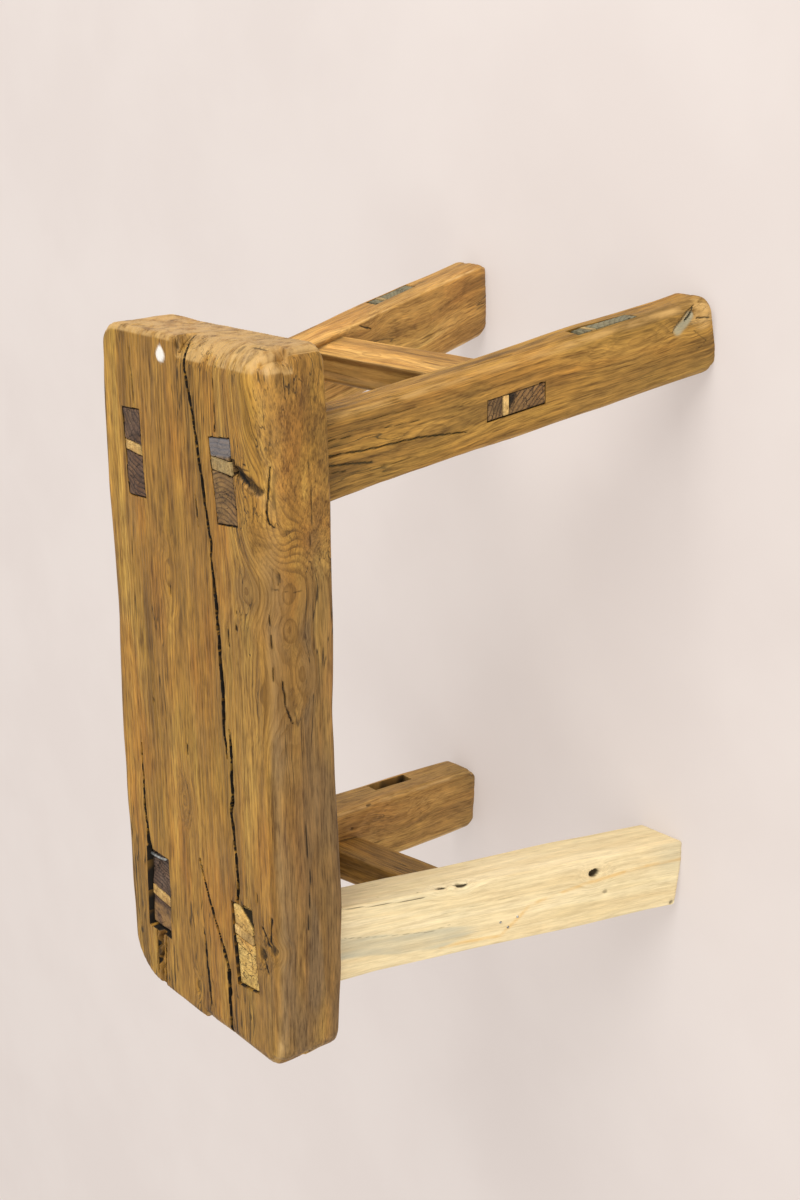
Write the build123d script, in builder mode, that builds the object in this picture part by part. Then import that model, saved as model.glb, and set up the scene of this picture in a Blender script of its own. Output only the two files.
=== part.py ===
from build123d import *
import os

os.makedirs("parts", exist_ok=True)

# A low stool: one thick plank on four splayed legs. Every leg ends in a tenon that comes
# up through the plank and is spread by a wedge. X runs along the plank, Y across it, Z up.

# Seat plank
seat_length = 420
seat_width = 153
seat_thickness = 45
stool_height = 312.5
seat_corner_radius = 11
seat_worn_corner_radius = 24
seat_top_arris = 7
seat_under_arris = 4

# Legs, sized along the seat (width) and across it (depth)
leg_width = 46
leg_depth = 34
foot_inset = 22.5
foot_outset = 27
old_arris_radius = 5.5
new_arris_radius = 1.4
old_toe_height = 5
old_toe_inset = 1.8
new_toe_height = 1.6
new_toe_inset = 0.7
sole_lift = 8

# Seat joints
tenon_length = 48
tenon_thickness = 18.5
tenon_corner_radius = 1.5
mortise_clearance = 0.1
worn_mortise_gap = 2
new_mortise_gap = 1.1
worn_tenon_recess = 4
seat_wedge_thickness = 7
seat_wedge_tip = 1.5
seat_wedge_depth = 30

# Side stretchers, one under each end of the seat, joined to the legs with wedged tenons
stretcher_right_level_front = 143.5
stretcher_right_level_back = 163
stretcher_right_outset_front = -1.5
stretcher_right_outset_back = 8
stretcher_right_height_front = 37.5
stretcher_right_height_back = 32
stretcher_right_body_drop = 9.5
stretcher_right_body_rise = 1
stretcher_right_body_outset_front = -0.6
stretcher_right_body_outset_back = 10
stretcher_left_level_front = 145.5
stretcher_left_level_back = 157.5
stretcher_left_height = 35
stretcher_left_outset = -8
stretcher_thickness = 20
stretcher_tenon_height_right_front = 37
stretcher_tenon_height_right_back = 30
stretcher_tenon_height_left = 30
stretcher_tenon_thickness = 12
stretcher_wedge_thickness = 4.5
stretcher_wedge_tip = 1
stretcher_wedge_depth = 22
blind_tenon_wall = 11

# Broken tenons of the two long rails that once tied the ends together
rail_level = 81.5
rail_tenon_height = 38
rail_mortise_gap = 2.5
rail_tenon_thickness = 11
stub_wedge_thickness = 4.5
stub_wedge_tip = 1
stub_wedge_depth = 16

# Metal fixings
brad_radius = 0.8
brad_length = 22
brad_pitch = 6.5
brad_drop = 8
staple_width = 13
staple_leg = 12
staple_radius = 0.9
staple_bend_radius = 2.2

# Drying cracks in the seat
crack_width = 2.6
crack_depth = 14

overrun = 12

seat_bottom = stool_height - seat_thickness
half_length = seat_length / 2
half_width = seat_width / 2
foot_spread_length = seat_length - 2 * foot_inset
foot_spread_width = seat_width + 2 * foot_outset

leg_names = ("leg_front_right", "leg_back_right", "leg_front_left", "leg_back_left")
new_leg = "leg_front_left"
worn_leg = "leg_back_left"

# Where each tenon comes out of the seat, as shares of half its length and half its width
head_place_shares = {
    "leg_front_right": (0.643, -0.549),
    "leg_back_right": (0.65, 0.621),
    "leg_front_left": (-0.7, -0.575),
    "leg_back_left": (-0.695, 0.627),
}
# Where each foot stands, as shares of half the spread of the feet
foot_place_shares = {
    "leg_front_right": (1.016, -1.029),
    "leg_back_right": (1.013, 0.947),
    "leg_front_left": (-0.94, -0.89),
    "leg_back_left": (-1.01, 1.053),
}
# Width and depth of each leg at the seat and at the floor, as shares of the leg's size
head_size_shares = {
    "leg_front_right": (1.04, 1.0),
    "leg_back_right": (1.02, 1.08),
    "leg_front_left": (1.04, 0.84),
    "leg_back_left": (1.02, 1.04),
}
foot_size_shares = {
    "leg_front_right": (0.99, 0.93),
    "leg_back_right": (1.06, 0.9),
    "leg_front_left": (1.0, 1.06),
    "leg_back_left": (1.03, 0.86),
}
# The adze leaves a leg a little fuller or leaner on its way up: height, width and depth shares
hewn_shares = ((0.0, 1.0, 1.0), (0.3, 1.02, 1.03), (0.62, 0.98, 1.0), (0.88, 0.99, 0.98), (1.0, 1.05, 1.02))
tenon_turn_degrees = {
    "leg_front_right": 6,
    "leg_back_right": 2.7,
    "leg_front_left": 4,
    "leg_back_left": -1.8,
}
tenon_size_shares = {
    "leg_front_right": (0.99, 1.05),
    "leg_back_right": (1.06, 0.92),
    "leg_front_left": (1.06, 0.98),
    "leg_back_left": (1.04, 1.08),
}
# How far the outer edge of each sole stands off the floor, because the feet were cut square
sole_lift_shares = {
    "leg_front_right": 0.85,
    "leg_back_right": 0.1,
    "leg_front_left": 0.65,
    "leg_back_left": 0.25,
}
sole_flat_share = 0.3
# The right stretcher's section: a board with a hollow worn along its upper edge, up and out shares
right_section_shares = ((-1, -0.9), (-1, 1), (0.95, 1), (0.72, 0.4), (0.8, -0.3), (1, -0.6), (0.9, -1))
left_section_shares = ((-1, -1), (-1, 0.9), (0.8, 1), (1, 0.75), (1, -0.8), (0.8, -1))
seat_wedge_place_shares = {
    "leg_front_right": 0.18,
    "leg_back_right": 0.07,
    "leg_front_left": 0.3,
    "leg_back_left": -0.06,
}
stretcher_wedge_place_share = 0.21
# Where the long rails met the legs, as shares of the rail level and of a leg's depth
rail_place_shares = {
    "leg_front_right": (0.9, -0.15),
    "leg_back_right": (1.0, 0.11),
    "leg_back_left": (0.99, 0.16),
}
stub_length_share = 0.55
stub_wedge_place_share = 0.28

# The three brads, in pitches from the leg's centre line
brad_place_shares = ((-1.4, -0.9), (-1.4, 1.0), (-2.0, 0.1))
staple_place_shares = (0.46, 0.1)

back_edge_shares = ((-1.0, 1.0), (-0.45, 1.02), (-0.18, 1.035), (0.2, 0.975), (0.55, 1.015), (1, 0.96))
front_edge_shares = ((-1.035, -0.95), (-0.54, -1.02), (0.1, -0.99), (0.6, -1.02), (1, -0.97))
# Each crack is a list of places on the seat and of its opening there
long_crack_shares = (
    (1.0, -0.123, 0.9),
    (0.86, -0.155, 0.5),
    (0.62, -0.278, 0.7),
    (0.41, -0.355, 1.0),
    (0.19, -0.403, 0.8),
    (-0.11, -0.425, 0.45),
    (-0.26, -0.482, 0.9),
    (-0.5, -0.516, 0.75),
    (-0.59, -0.505, 0.5),
)
end_crack_shares = ((-0.58, -0.095, 0.2), (-0.685, -0.2, 0.7), (-0.81, -0.336, 1.0), (-1.0, -0.33, 1.2))


def side_of(name):
    """+1 for the two legs at the right end of the seat, -1 for those at the left end."""
    return 1 if name.endswith("right") else -1


def leg_axis(name, height):
    """The centre of a leg at a height above the floor."""
    foot_x = foot_place_shares[name][0] * foot_spread_length / 2
    foot_y = foot_place_shares[name][1] * foot_spread_width / 2
    head_x = head_place_shares[name][0] * half_length
    head_y = head_place_shares[name][1] * half_width
    rise = height / stool_height
    return (foot_x + (head_x - foot_x) * rise, foot_y + (head_y - foot_y) * rise)


def leg_size(name, share):
    """Width and depth of a leg at a share of its height, before the adze's unevenness."""
    foot = foot_size_shares[name]
    head = head_size_shares[name]
    return (
        leg_width * (foot[0] + (head[0] - foot[0]) * share),
        leg_depth * (foot[1] + (head[1] - foot[1]) * share),
    )


def leg_blank(name):
    """The leg from sole to shoulder, with worn toes and a square-cut sole, before its mortises."""
    new = name == new_leg
    arris = new_arris_radius if new else old_arris_radius
    toe_height = new_toe_height if new else old_toe_height
    toe_inset = new_toe_inset if new else old_toe_inset
    with BuildPart() as blank:
        for share, width_share, depth_share in hewn_shares:
            height = toe_height + (seat_bottom - toe_height) * share
            width, depth = leg_size(name, share)
            with BuildSketch(Plane.XY.offset(height)):
                with Locations(leg_axis(name, height)):
                    RectangleRounded(width * width_share, depth * depth_share, arris)
        loft(ruled=True)
        width, depth = leg_size(name, 0)
        with BuildSketch(Plane.XY):
            with Locations(leg_axis(name, 0)):
                RectangleRounded(width - 2 * toe_inset, depth - 2 * toe_inset, arris)
        with BuildSketch(Plane.XY.offset(toe_height)):
            with Locations(leg_axis(name, toe_height)):
                RectangleRounded(width, depth, arris)
        loft(ruled=True)
        side = side_of(name)
        lift = sole_lift * sole_lift_shares[name]
        foot_x, foot_y = leg_axis(name, 0)
        heel = foot_x - side * width * (0.5 - sole_flat_share)
        outer = heel + side * width
        with BuildSketch(Plane.XZ.offset(-foot_y)):
            with BuildLine():
                raised = (outer, lift / (1 - sole_flat_share))
                Polyline((heel, 0), raised, (outer, -overrun), (heel, -overrun), close=True)
            make_face()
        extrude(amount=leg_depth, both=True, mode=Mode.SUBTRACT)
    return blank.part


def tenon_blank(name, low, high, gap=0):
    """The tenon on a leg's head between two heights, grown all round by a gap."""
    length_share, thickness_share = tenon_size_shares[name]
    length = tenon_length * length_share + 2 * gap
    thickness = tenon_thickness * thickness_share + 2 * gap
    turn = tenon_turn_degrees[name]
    with BuildPart() as tenon:
        for height in (low, high):
            with BuildSketch(Plane.XY.offset(height)):
                with Locations(leg_axis(name, height)):
                    RectangleRounded(length, thickness, tenon_corner_radius, rotation=turn)
        loft(ruled=True)
    return tenon.part


def common(first, *others):
    """What several solids have in common."""
    with BuildPart() as shared:
        add(first)
        for other in others:
            add(other, mode=Mode.INTERSECT)
    return shared.part


def tenon_top(name):
    """The worn leg's tenon has sunk a little below the seat's face."""
    return stool_height - worn_tenon_recess if name == worn_leg else stool_height


def seat_wedge_prism(name):
    """The wedge's full shape across a seat tenon, thick at the top and thin at its tip."""
    top = tenon_top(name)
    low = top - seat_wedge_depth
    offset = seat_wedge_place_shares[name] * tenon_length
    top_x = leg_axis(name, top)[0] + offset
    low_x = leg_axis(name, low)[0] + offset
    with BuildPart() as prism:
        with BuildSketch(Plane.XZ.offset(-leg_axis(name, top)[1])):
            with BuildLine():
                Polyline(
                    (top_x - seat_wedge_thickness / 2, top),
                    (top_x + seat_wedge_thickness / 2, top),
                    (low_x + seat_wedge_tip / 2, low),
                    (low_x - seat_wedge_tip / 2, low),
                    close=True,
                )
            make_face()
        extrude(amount=tenon_length, both=True)
    return prism.part


def leg_line(name):
    """The direction of a leg, from its foot to its head."""
    return Vector(*leg_axis(name, stool_height), stool_height) - Vector(*leg_axis(name, 0))


def bar_plane(front, back, levels, outsets):
    """A plane across a stretcher at the front leg: local X is up, leaning with the legs, and local Y
    is right. The outsets shift its two ends along the seat."""
    start = Vector(*leg_axis(front, levels[0]), levels[0]) + Vector(outsets[0], 0)
    end = Vector(*leg_axis(back, levels[1]), levels[1]) + Vector(outsets[1], 0)
    up = leg_line(front) + leg_line(back)
    return Plane(origin=start, x_dir=Vector(up.X, 0, up.Z), z_dir=end - start), (end - start).length


def stretcher_rod(plane, span, heights, start, gap=0):
    """The straight, tapering bar that both tenons of a stretcher are cut from."""
    with BuildPart() as rod:
        for place in (start - gap, span + leg_depth):
            height = heights[0] + (heights[1] - heights[0]) * place / span
            with BuildSketch(plane.offset(place)):
                Rectangle(height + 2 * gap, stretcher_tenon_thickness + 2 * gap)
        loft(ruled=True)
    return rod.part


def stretcher_body(plane, span, heights, section_shares, front, back):
    """A stretcher between its shoulders, coped to the inner faces of its two legs."""
    with BuildPart() as body:
        for place, height in zip((0, span), heights):
            with BuildSketch(plane.offset(place)):
                with BuildLine():
                    places = [(up * height / 2, out * stretcher_thickness / 2) for up, out in section_shares]
                    Polyline(*places, close=True)
                make_face()
        loft(ruled=True)
        add(blanks[front], mode=Mode.SUBTRACT)
        add(blanks[back], mode=Mode.SUBTRACT)
    return body.part


def bar_wedge_prism(plane, face_at, inward, place, thickness, tip, depth, width):
    """The wedge across a bar's tenon, driven in from a face of the leg. The plane lies across the
    bar with its local X up, and the face is at a distance along the bar."""
    side_plane = Plane(origin=plane.origin, x_dir=plane.z_dir, z_dir=plane.y_dir)
    mouth = face_at - inward * overrun
    point = face_at + inward * depth
    with BuildPart() as prism:
        with BuildSketch(side_plane):
            with BuildLine():
                Polyline(
                    (mouth, place + thickness / 2),
                    (face_at, place + thickness / 2),
                    (point, place + tip / 2),
                    (point, place - tip / 2),
                    (face_at, place - thickness / 2),
                    (mouth, place - thickness / 2),
                    close=True,
                )
            make_face()
        extrude(amount=width / 2, both=True)
    return prism.part


def stretcher_wedge_prism(plane, height, face_at, inward):
    """The wedge in one end of a stretcher."""
    return bar_wedge_prism(
        plane,
        face_at,
        inward,
        stretcher_wedge_place_share * height,
        stretcher_wedge_thickness,
        stretcher_wedge_tip,
        stretcher_wedge_depth,
        stretcher_tenon_thickness,
    )


def rail_plane(name):
    """A plane across a lost rail at its leg: local Z points out of the end of the stool and local X
    is up, leaning with the leg."""
    level_share, offset_share = rail_place_shares[name]
    level = rail_level * level_share
    up = leg_line(name)
    start = Vector(*leg_axis(name, level), level) + Vector(0, offset_share * leg_depth)
    return Plane(origin=start, x_dir=Vector(0, up.Y, up.Z), z_dir=(side_of(name), 0, 0))


def rail_slot(name, start, gap=0, headroom=0):
    """The end of a lost rail from a place inside the leg to beyond its outer face, grown all round
    by a gap and upwards by the headroom."""
    with BuildPart() as slot:
        with BuildSketch(rail_plane(name).offset(start)):
            with Locations((headroom / 2, 0)):
                Rectangle(rail_tenon_height + 2 * gap + headroom, rail_tenon_thickness + 2 * gap)
        extrude(amount=leg_width - start)
    return slot.part


def stub_wedge_prism(name):
    """The wedge in a broken rail tenon, driven in from the end of the stool."""
    return bar_wedge_prism(
        rail_plane(name),
        leg_width / 2,
        -1,
        stub_wedge_place_share * rail_tenon_height,
        stub_wedge_thickness,
        stub_wedge_tip,
        stub_wedge_depth,
        rail_tenon_thickness,
    )


def crack_cut(shares):
    """A drying crack: a narrow slot that follows the grain and opens and closes on its way."""
    places = [(x * half_length, y * half_width, opening * crack_width / 2) for x, y, opening in shares]
    near = [(x, y - half) for x, y, half in places]
    far = [(x, y + half) for x, y, half in reversed(places)]
    with BuildPart() as cut:
        with BuildSketch(Plane.XY.offset(stool_height - crack_depth)):
            with BuildLine():
                Polyline(*near, *far, close=True)
            make_face()
        extrude(amount=crack_depth + overrun)
    return cut.part


def hand_in(part, name):
    """Label a finished piece and write it to its own file."""
    part.label = name
    export_step(part, f"parts/{name}.step")


blanks = {name: leg_blank(name) for name in leg_names}
head_tenons = {name: tenon_blank(name, seat_bottom, tenon_top(name)) for name in leg_names}
seat_wedge_prisms = {name: seat_wedge_prism(name) for name in leg_names}

right_plane, right_span = bar_plane(
    "leg_front_right",
    "leg_back_right",
    (stretcher_right_level_front, stretcher_right_level_back),
    (stretcher_right_outset_front, stretcher_right_outset_back),
)
body_level_front = stretcher_right_level_front - stretcher_right_body_drop
body_level_back = stretcher_right_level_back + stretcher_right_body_rise
right_body_plane, right_body_span = bar_plane(
    "leg_front_right",
    "leg_back_right",
    (body_level_front, body_level_back),
    (stretcher_right_body_outset_front, stretcher_right_body_outset_back),
)
left_plane, left_span = bar_plane(
    "leg_front_left",
    "leg_back_left",
    (stretcher_left_level_front, stretcher_left_level_back),
    (stretcher_left_outset, stretcher_left_outset),
)
right_heights = (stretcher_tenon_height_right_front, stretcher_tenon_height_right_back)
left_heights = (stretcher_tenon_height_left, stretcher_tenon_height_left)
blind_start = blind_tenon_wall - leg_depth / 2

# Each joint between a stretcher and a leg: the bar that fills the mortise, and the bar that cuts it
through = -leg_depth
right_rod = stretcher_rod(right_plane, right_span, right_heights, through)
right_cut = stretcher_rod(right_plane, right_span, right_heights, through, mortise_clearance)
left_rod = stretcher_rod(left_plane, left_span, left_heights, blind_start)
left_cut = stretcher_rod(left_plane, left_span, left_heights, blind_start, mortise_clearance)
bars = {
    "leg_front_right": (right_rod, right_cut),
    "leg_back_right": (right_rod, right_cut),
    "leg_front_left": (left_rod, left_cut),
    "leg_back_left": (left_rod, left_cut),
}
half_depth = leg_depth / 2
stretcher_wedge_prisms = {
    "leg_front_right": stretcher_wedge_prism(right_plane, right_heights[0], -half_depth, 1),
    "leg_back_right": stretcher_wedge_prism(right_plane, right_heights[1], right_span + half_depth, -1),
    "leg_back_left": stretcher_wedge_prism(left_plane, left_heights[1], left_span + half_depth, -1),
}
rail_legs = ("leg_front_right", "leg_back_right", worn_leg)

# The seat: a thick plank with a wavy outline and one corner worn round
with BuildPart() as seat:
    with BuildSketch(Plane.XY.offset(seat_bottom)) as outline:
        with BuildLine():
            back = Spline(*[(x * half_length, y * half_width) for x, y in back_edge_shares])
            front = Spline(*[(x * half_length, y * half_width) for x, y in front_edge_shares])
            Line(back @ 0, front @ 0)
            Line(back @ 1, front @ 1)
        make_face()
        worn_corner = outline.vertices().sort_by(Axis.X)[:2].sort_by(Axis.Y)[-1]
        square_corners = [corner for corner in outline.vertices() if corner != worn_corner]
        fillet(square_corners, seat_corner_radius)
        fillet(outline.vertices().sort_by_distance(back @ 0)[0], seat_worn_corner_radius)
    extrude(amount=seat_thickness)
    fillet(seat.faces().sort_by(Axis.Z)[-1].edges(), seat_top_arris)
    fillet(seat.faces().sort_by(Axis.Z)[0].edges(), seat_under_arris)
    for name in leg_names:
        gap = {new_leg: new_mortise_gap, worn_leg: worn_mortise_gap}.get(name, mortise_clearance)
        add(tenon_blank(name, seat_bottom - overrun, stool_height + overrun, gap), mode=Mode.SUBTRACT)
    add(crack_cut(long_crack_shares), mode=Mode.SUBTRACT)
    add(crack_cut(end_crack_shares), mode=Mode.SUBTRACT)
hand_in(seat.part, "seat")

# The two side stretchers: a broad worn board under the right end, a slimmer one under the left
with BuildPart() as stretcher_right:
    add(
        stretcher_body(
            right_body_plane,
            right_body_span,
            (stretcher_right_height_front, stretcher_right_height_back),
            right_section_shares,
            "leg_front_right",
            "leg_back_right",
        )
    )
    for name in ("leg_front_right", "leg_back_right"):
        add(common(right_rod, blanks[name]))
        add(stretcher_wedge_prisms[name], mode=Mode.SUBTRACT)
hand_in(stretcher_right.part, "stretcher_right")

# Three brads hold the blind tenon in the new leg. They are driven in along it from the front face.
brad_holes = []
brad_level = stretcher_left_level_front - brad_drop
brad_x, brad_y = leg_axis(new_leg, brad_level)
for across, up in brad_place_shares:
    brad_head = (brad_x + across * brad_pitch, brad_y - half_depth, brad_level + up * brad_pitch)
    with BuildPart() as brad:
        with BuildSketch(Plane(origin=brad_head, z_dir=left_plane.z_dir).offset(-overrun)):
            Circle(brad_radius)
        extrude(amount=overrun + brad_length)
    brad_holes.append(brad.part)

with BuildPart() as stretcher_left:
    add(
        stretcher_body(
            left_plane,
            left_span,
            (stretcher_left_height, stretcher_left_height),
            left_section_shares,
            "leg_front_left",
            "leg_back_left",
        )
    )
    for name in ("leg_front_left", "leg_back_left"):
        add(common(left_rod, blanks[name]))
    add(stretcher_wedge_prisms["leg_back_left"], mode=Mode.SUBTRACT)
    for hole in brad_holes:
        add(hole, mode=Mode.SUBTRACT)
hand_in(stretcher_left.part, "stretcher_left")

with BuildPart() as stretcher_brads:
    for hole in brad_holes:
        add(common(hole, blanks[new_leg]))
hand_in(stretcher_brads.part, "stretcher_brads")

# A heavy wire staple bridges the shrunken tenon of the worn leg, just below the seat's face
staple_top = tenon_top(worn_leg)
staple_x, staple_y = leg_axis(worn_leg, staple_top)
staple_x = staple_x + staple_place_shares[0] * tenon_length
staple_y = staple_y + staple_place_shares[1] * tenon_thickness
with BuildPart() as tenon_staple:
    with BuildLine(Plane.YZ.offset(staple_x)) as wire:
        FilletPolyline(
            (staple_y - staple_width / 2, staple_top - staple_leg),
            (staple_y - staple_width / 2, staple_top + staple_radius),
            (staple_y + staple_width / 2, staple_top + staple_radius),
            (staple_y + staple_width / 2, staple_top - staple_leg),
            radius=staple_bend_radius,
        )
    with BuildSketch(Plane(origin=wire.line @ 0, z_dir=wire.line % 0)):
        Circle(staple_radius)
    sweep()
hand_in(tenon_staple.part, "tenon_staple")

# Wedges in the four seat tenons and in the three through tenons of the stretchers
for name in leg_names:
    with BuildPart() as seat_wedge:
        add(common(head_tenons[name], seat_wedge_prisms[name]))
    hand_in(seat_wedge.part, name.replace("leg", "seat_wedge"))

for name, prism in stretcher_wedge_prisms.items():
    with BuildPart() as stretcher_wedge:
        add(common(bars[name][0], blanks[name], prism))
    hand_in(stretcher_wedge.part, name.replace("leg", "stretcher_wedge"))

# What is left of the long rails: a stub in the outer half of each mortise, with its wedge
for name in rail_legs:
    wedge_prism = stub_wedge_prism(name)
    broken_at = leg_width * (0.5 - stub_length_share)
    with BuildPart() as rail_stub:
        add(common(rail_slot(name, broken_at), blanks[name]))
        add(wedge_prism, mode=Mode.SUBTRACT)
    hand_in(rail_stub.part, name.replace("leg", "rail_stub"))
    with BuildPart() as stub_wedge:
        add(common(wedge_prism, blanks[name]))
    hand_in(stub_wedge.part, name.replace("leg", "stub_wedge"))

# The legs, each cut for its wedge, its stretcher and, in the three old ones, its lost rail
for name in leg_names:
    with BuildPart() as leg:
        add(blanks[name])
        add(head_tenons[name])
        add(seat_wedge_prisms[name], mode=Mode.SUBTRACT)
        add(bars[name][1], mode=Mode.SUBTRACT)
        if name in rail_legs:
            add(rail_slot(name, -leg_width, mortise_clearance, rail_mortise_gap), mode=Mode.SUBTRACT)
        if name == new_leg:
            for hole in brad_holes:
                add(hole, mode=Mode.SUBTRACT)
        if name == worn_leg:
            add(tenon_staple.part, mode=Mode.SUBTRACT)
    hand_in(leg.part, name)
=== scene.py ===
# %% [markdown]
# # A low wooden stool
#
# The stool is one thick old plank on four splayed legs, tied in pairs by a stretcher under each
# end. Three legs are old and hewn, one is a pale new replacement. This lesson dresses the plain
# CAD model: every piece of wood gets a denser surface with its own dents, cracks and open joints,
# and a finish made from nodes alone. All numbers for shapes are in millimetres, and are turned
# into Blender's metres when a mesh is made.

import bpy
import math
import numpy as np
from mathutils import Matrix, Vector


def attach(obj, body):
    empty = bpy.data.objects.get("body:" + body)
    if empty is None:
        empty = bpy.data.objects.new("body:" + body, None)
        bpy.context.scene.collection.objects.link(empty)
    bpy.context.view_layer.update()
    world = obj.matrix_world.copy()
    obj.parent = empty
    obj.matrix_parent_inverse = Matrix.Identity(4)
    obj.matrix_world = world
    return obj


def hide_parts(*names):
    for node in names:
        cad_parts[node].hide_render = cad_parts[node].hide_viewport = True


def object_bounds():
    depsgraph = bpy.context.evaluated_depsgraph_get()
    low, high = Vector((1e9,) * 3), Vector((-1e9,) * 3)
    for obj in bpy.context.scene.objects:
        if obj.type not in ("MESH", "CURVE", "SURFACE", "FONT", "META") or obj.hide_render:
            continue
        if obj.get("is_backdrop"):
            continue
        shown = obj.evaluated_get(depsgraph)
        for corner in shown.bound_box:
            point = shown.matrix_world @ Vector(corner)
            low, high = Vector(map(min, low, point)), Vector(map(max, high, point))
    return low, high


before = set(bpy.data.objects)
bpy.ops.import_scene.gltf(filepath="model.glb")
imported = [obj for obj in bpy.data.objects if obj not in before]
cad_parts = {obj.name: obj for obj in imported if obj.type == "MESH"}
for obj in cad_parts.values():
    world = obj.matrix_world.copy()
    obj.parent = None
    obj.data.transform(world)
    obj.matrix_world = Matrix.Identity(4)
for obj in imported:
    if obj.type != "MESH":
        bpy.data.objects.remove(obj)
cad_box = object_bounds()
scene = bpy.context.scene
print("pieces in the plain model:", len(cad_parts))

# %% [markdown]
# ## Camera
#
# The photograph was taken of the stool lying on one end, so the seat stands upright in it. Here
# the stool stands on its feet and the camera is rolled by about a quarter turn instead, which
# gives the same picture. A camera looks down its own -Z axis, so three directions are enough to
# place it: right, up and back. They are the columns of its matrix.

# %% Place the camera
camera = bpy.data.objects.new("camera", bpy.data.cameras.new("camera"))
scene.collection.objects.link(camera)
camera.data.lens = 54
camera_right = Vector((-0.0121, -0.6473, -0.7621))
camera_up = Vector((0.9526, 0.2243, -0.2056))
camera_back = Vector((0.304, -0.7285, 0.6139))
turn = Matrix((camera_right, camera_up, camera_back)).transposed()
camera.matrix_world = Matrix.Translation((0.3701, -0.8312, 0.8527)) @ turn.to_4x4()
scene.camera = camera
print("lens", camera.data.lens, "mm")

# %% [markdown]
# ## Light
#
# The light in the photograph is soft daylight. It is strongest on the ends of the legs and on the
# upper end of the seat, so the strong lamp stands off the +X end. A second, weaker one fills the
# sides that face the camera, and a pale sky keeps the shadows open. Area lamps give soft shadow
# edges: the larger the lamp, the softer the edge. Both stand far off, so that the floor is lit
# evenly.


# %% Hang the lamps
def hang_lamp(name, place, aim, size, power, tint):
    """A square lamp at a place, turned towards what it lights."""
    lamp = bpy.data.lights.new(name, "AREA")
    lamp.size = size
    lamp.energy = power
    lamp.color = tint
    holder = bpy.data.objects.new(name, lamp)
    scene.collection.objects.link(holder)
    holder.location = place
    holder.rotation_euler = (Vector(aim) - Vector(place)).to_track_quat("-Z", "Y").to_euler()


hang_lamp("window", (2.61, -0.61, 1.89), (0, 0, 0.15), 2.3, 118, (1.0, 0.98, 0.95))
hang_lamp("fill", (-0.82, -2.6, 1.37), (0, 0, 0.15), 2.6, 36, (1.0, 0.97, 0.94))
scene.world = bpy.data.worlds.new("sky")
scene.world.use_nodes = True
sky = scene.world.node_tree.nodes["Background"]
sky.inputs["Color"].default_value = (0.96, 0.94, 0.93, 1)
sky.inputs["Strength"].default_value = 0.75
scene.view_settings.view_transform = "Standard"

# %% [markdown]
# ## Writing shader sums as Python
#
# A material is a net of small nodes, and a sum such as a * b + c takes two of them. This class
# wraps the output of a node, so that the sum can be written as it reads: each operator adds one
# Math node. The reflected forms let a plain number stand first, as in 1 - mask.


# %% A wrapped socket
class Wire:
    def __init__(self, finish, output):
        self.finish = finish
        self.output = output

    def __add__(self, other):
        return self.finish.sum("ADD", self, other)

    def __sub__(self, other):
        return self.finish.sum("SUBTRACT", self, other)

    def __rsub__(self, other):
        return self.finish.sum("SUBTRACT", other, self)

    def __mul__(self, other):
        return self.finish.sum("MULTIPLY", self, other)

    __radd__ = __add__
    __rmul__ = __mul__


# %% [markdown]
# A finish is one material. Its method for nodes takes the node's type, then the settings that
# belong to the node itself, and last what goes into its sockets: numbers, colours or wires.


# %% A finish and its nodes
class Finish:
    def __init__(self, name):
        self.material = bpy.data.materials.new(name)
        self.material.use_nodes = True
        self.tree = self.material.node_tree
        self.shader = self.tree.nodes["Principled BSDF"]

    def node(self, kind, settings, sockets, output=0):
        made = self.tree.nodes.new(kind)
        for key, value in settings.items():
            if key == "stops":
                ramp = made.color_ramp.elements
                while len(ramp) < len(value):
                    ramp.new(1.0)
                for stop, (place, colour) in zip(ramp, value):
                    stop.position = place
                    stop.color = colour
            else:
                setattr(made, key, value)
        for key, value in sockets.items():
            self.plug(made, key, value)
        return Wire(self, made.outputs[output])

    def plug(self, made, key, value):
        if isinstance(value, Wire):
            self.tree.links.new(value.output, made.inputs[key])
        else:
            made.inputs[key].default_value = value

    def sum(self, operation, first, second):
        return self.node("ShaderNodeMath", {"operation": operation}, {0: first, 1: second})

    def set(self, **sockets):
        for key, value in sockets.items():
            self.plug(self.shader, key.replace("_", " "), value)


def paint(red, green, blue):
    """A colour given as on a screen, 0 to 255, as the light values that Blender works in."""
    parts = [part / 255 for part in (red, green, blue)]
    light = [part / 12.92 if part <= 0.04045 else ((part + 0.055) / 1.055) ** 2.4 for part in parts]
    return (*light, 1.0)


print("tan wood is", [round(part, 3) for part in paint(166, 125, 70)])

# %% [markdown]
# Three more helpers, because every wood needs them: mixing two colours by a mask, a noise pulled
# long in one direction, and a soft step that turns a noise into patches with clear edges.


# %% Helpers for every finish
def mix(finish, mask, first, second, blend="MIX"):
    """From the first colour where the mask is 0 to the second where it is 1."""
    settings = {"data_type": "RGBA", "blend_type": blend, "clamp_factor": True}
    return finish.node("ShaderNodeMix", settings, {0: mask, 6: first, 7: second}, 2)


def pulled_noise(finish, coordinates, stretch, detail=3, roughness=0.55):
    """A noise with its own size along each axis: the stretch is in lumps per metre."""
    place = finish.node(
        "ShaderNodeVectorMath", {"operation": "MULTIPLY"}, {0: coordinates, 1: stretch}
    )
    sockets = {"Vector": place, "Scale": 1.0, "Detail": detail, "Roughness": roughness}
    return finish.node("ShaderNodeTexNoise", {}, sockets)


def soft_step(finish, value, low, high):
    """0 under the low value, 1 over the high one, and a smooth slope between."""
    settings = {"interpolation_type": "SMOOTHSTEP"}
    sockets = {"Value": value, "From Min": low, "From Max": high}
    return finish.node("ShaderNodeMapRange", settings, sockets)


print("helpers ready")

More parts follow.
